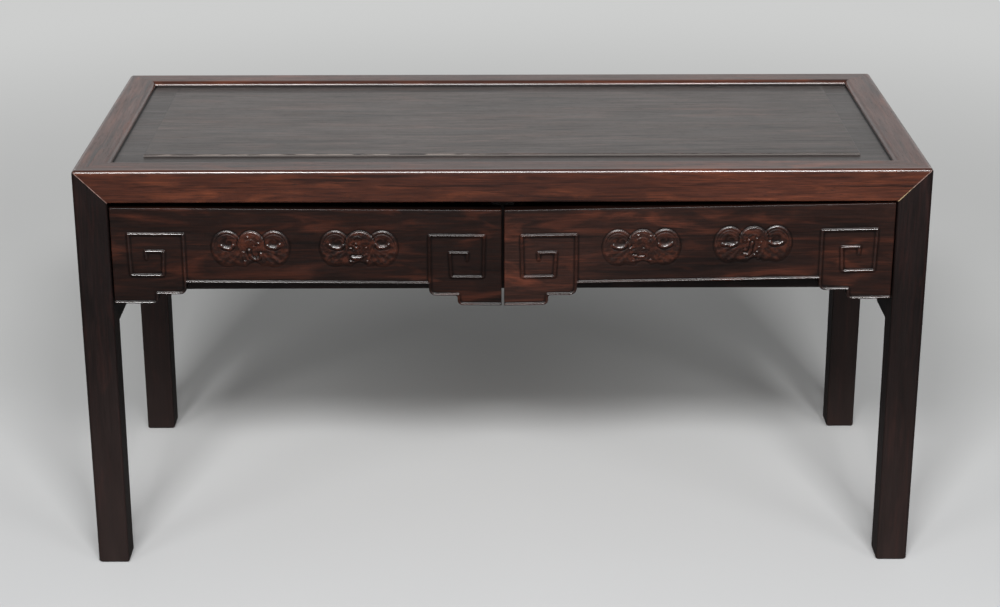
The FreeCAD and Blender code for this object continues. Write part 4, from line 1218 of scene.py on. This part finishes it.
def finish_pieces():
    """Give every CAD piece and carved board its own cut of wood."""
    slots = {part["node"]: part["material_slot"] for part in frame["record"]["subparts"]}
    for index, (node, piece) in enumerate(sorted(frame["nodes"].items())):
        mitred = node.endswith(("_rail", "_leg")) and node != "front_lower_rail"
        material = wood(node + "_wood", slots[node], grain_axis(node), PLAIN_WOOD_SEED + index, mitred)
        piece.data.materials.clear()
        piece.data.materials.append(material)
        eased = piece.modifiers.new("eased_edges", "BEVEL")
        eased.width = EASED_EDGE * MM
        eased.segments = 2
        eased.limit_method = "ANGLE"
        eased.angle_limit = math.radians(EASED_ANGLE)
    for index, (piece, axis, shade) in enumerate(carved_boards()):
        seed = CARVED_WOOD_SEED + index
        material = wood(piece.name + "_wood", "carved_hardwood", axis, seed, carved=True, shade=shade)
        piece.data.materials.append(material)


# Studio: paper near the table and far behind it, pale backdrop, fill light, and what the wood mirrors in
# front and behind
PAPER = (0.565, 0.57, 0.575)
# The far paper is lighter: painted light standing in for a lit backdrop far behind the table
FAR_PAPER = (0.65, 0.655, 0.65)
PAPER_PLACES = (-0.45, 0.70)
PAPER_NOISE = (1.3, 3.0)
PAPER_TONES = ((0.3, 0.97), (0.7, 1.02))
PAPER_ROUGHNESS = 0.75
PAPER_GLOSS = 0.2
BACKDROP = (0.61, 0.615, 0.61)
BACKDROP_DISTANCES = (0.85, 2.9)
MIRRORED_PAPER_LOSS = 0.92
FLOOR_RADIUS = 14.0
FLOOR_SIDES = 96
FLOOR_GAP = 0.0002
FILL = 0.17
FILL_TINT = (0.995, 1.0, 1.0, 1.0)
DIM_ROOM = 0.08
LIT_WALL = 0.92
# Share of a direction that points to the back, between the dim room and the lit wall
WALL_TURN = (0.1, 0.7)
# Lamps: place, size and power
LAMPS = {
    "left_key": ((-0.90, -3.74, 3.16), (0.90, 0.68), 116.0),
    "right_key": ((0.90, -3.74, 3.16), (0.90, 0.68), 112.0),
    "centre_fill": ((0.0, -3.85, 2.65), (0.55, 1.30), 56.0),
    "left_side": ((-2.61, -2.90, 2.80), (1.3, 1.3), 27.0),
    "right_side": ((2.61, -2.90, 2.80), (1.3, 1.3), 27.0),
}
LAMP_TARGET = (0, 0, 0.3)


def stage_material(name):
    """Matt studio paper that turns into a pale backdrop far from the table."""
    shader = Shader(bpy.data.materials.new(name))
    tone = shader.tones(shader.noise(shader.place, *PAPER_NOISE), PAPER_TONES)
    # Paper painted lighter far behind the table: painted light
    paper = shader.mix(shader.y.band(*PAPER_PLACES), PAPER, FAR_PAPER)
    paper = shader.mix(1.0, paper, tone, "MULTIPLY")
    dim = shader.out("Is Glossy Ray", "ShaderNodeLightPath") * MIRRORED_PAPER_LOSS
    shader.surface("Base Color", shader.mix(dim, paper, (0.0, 0.0, 0.0)))
    shader.surface("Roughness", PAPER_ROUGHNESS)
    shader.surface("Specular IOR Level", PAPER_GLOSS)
    distance = shader.out("Value", "ShaderNodeVectorMath", {0: shader.place}, operation="LENGTH")
    far = shader.out("Is Camera Ray", "ShaderNodeLightPath") * distance.band(*BACKDROP_DISTANCES)
    matt = Value(shader, shader.tree.nodes["Principled BSDF"].outputs["BSDF"])
    glow = shader.out("Emission", "ShaderNodeEmission", {"Color": (*BACKDROP, 1.0)})
    blend = shader.out("Shader", "ShaderNodeMixShader", {"Fac": far, 1: matt, 2: glow})
    shader.feed("Material Output", "Surface", blend)
    return shader.owner


def studio_floor():
    """Wide round floor under the table."""
    bm = bmesh.new()
    bmesh.ops.create_circle(bm, cap_ends=True, segments=FLOOR_SIDES, radius=FLOOR_RADIUS)
    mesh = bpy.data.meshes.new("studio_floor")
    bm.to_mesh(mesh)
    bm.free()
    floor = bpy.data.objects.new("studio_floor", mesh)
    floor.location = (0, 0, cad_low.z - FLOOR_GAP)
    bpy.context.scene.collection.objects.link(floor)
    floor.data.materials.append(stage_material("studio_paper"))


def soft_box(name, place, size, power):
    """Rectangular area lamp that points at the table."""
    lamp = bpy.data.lights.new(name, "AREA")
    lamp.shape = "RECTANGLE"
    lamp.size, lamp.size_y = size
    lamp.energy = power
    carrier = bpy.data.objects.new(name, lamp)
    carrier.location = place
    aim = Vector(LAMP_TARGET) - Vector(place)
    carrier.rotation_euler = aim.to_track_quat("-Z", "Y").to_euler()
    bpy.context.scene.collection.objects.link(carrier)


def studio_lamps():
    """Two keys and a tall fill in front, two side boxes, and a surround that the wood mirrors pale behind
    the table and dim in front of it."""
    for name, lamp in LAMPS.items():
        soft_box(name, *lamp)
    world = bpy.data.worlds.new("studio")
    shader = Shader(world, "Generated")
    low, high = WALL_TURN
    span = {"Value": shader.y, "From Min": low, "From Max": high, "To Min": DIM_ROOM, "To Max": LIT_WALL}
    mirrored = shader.out("Result", "ShaderNodeMapRange", span)
    light = FILL
    for ray, level in (("Is Glossy Ray", mirrored), ("Is Camera Ray", BACKDROP[1])):
        inputs = {"Factor": shader.out(ray, "ShaderNodeLightPath"), "A": light, "B": level}
        light = shader.out("Result", "ShaderNodeMix", inputs)
    shader.feed("Background", "Strength", light)
    shader.feed("Background", "Color", FILL_TINT)
    bpy.context.scene.world = world


def photo_camera():
    """Camera at the photograph's place and angle."""
    data = bpy.data.cameras.new("camera")
    data.sensor_width = CAMERA_SENSOR
    data.lens = CAMERA_LENS
    camera = bpy.data.objects.new("camera", data)
    turn = Matrix.Rotation(CAMERA_YAW, 4, "Z")
    turn = turn @ Matrix.Rotation(math.pi / 2 - CAMERA_PITCH, 4, "X")
    turn = turn @ Matrix.Rotation(CAMERA_ROLL, 4, "Z")
    camera.matrix_world = Matrix.Translation(CAMERA_PLACE) @ turn
    bpy.context.scene.collection.objects.link(camera)
    bpy.context.scene.camera = camera


def main():
    photo_camera()
    studio_floor()
    studio_lamps()
    finish_pieces()
    bpy.context.scene.view_settings.view_transform = "Standard"
    bpy.context.view_layer.update()


main()
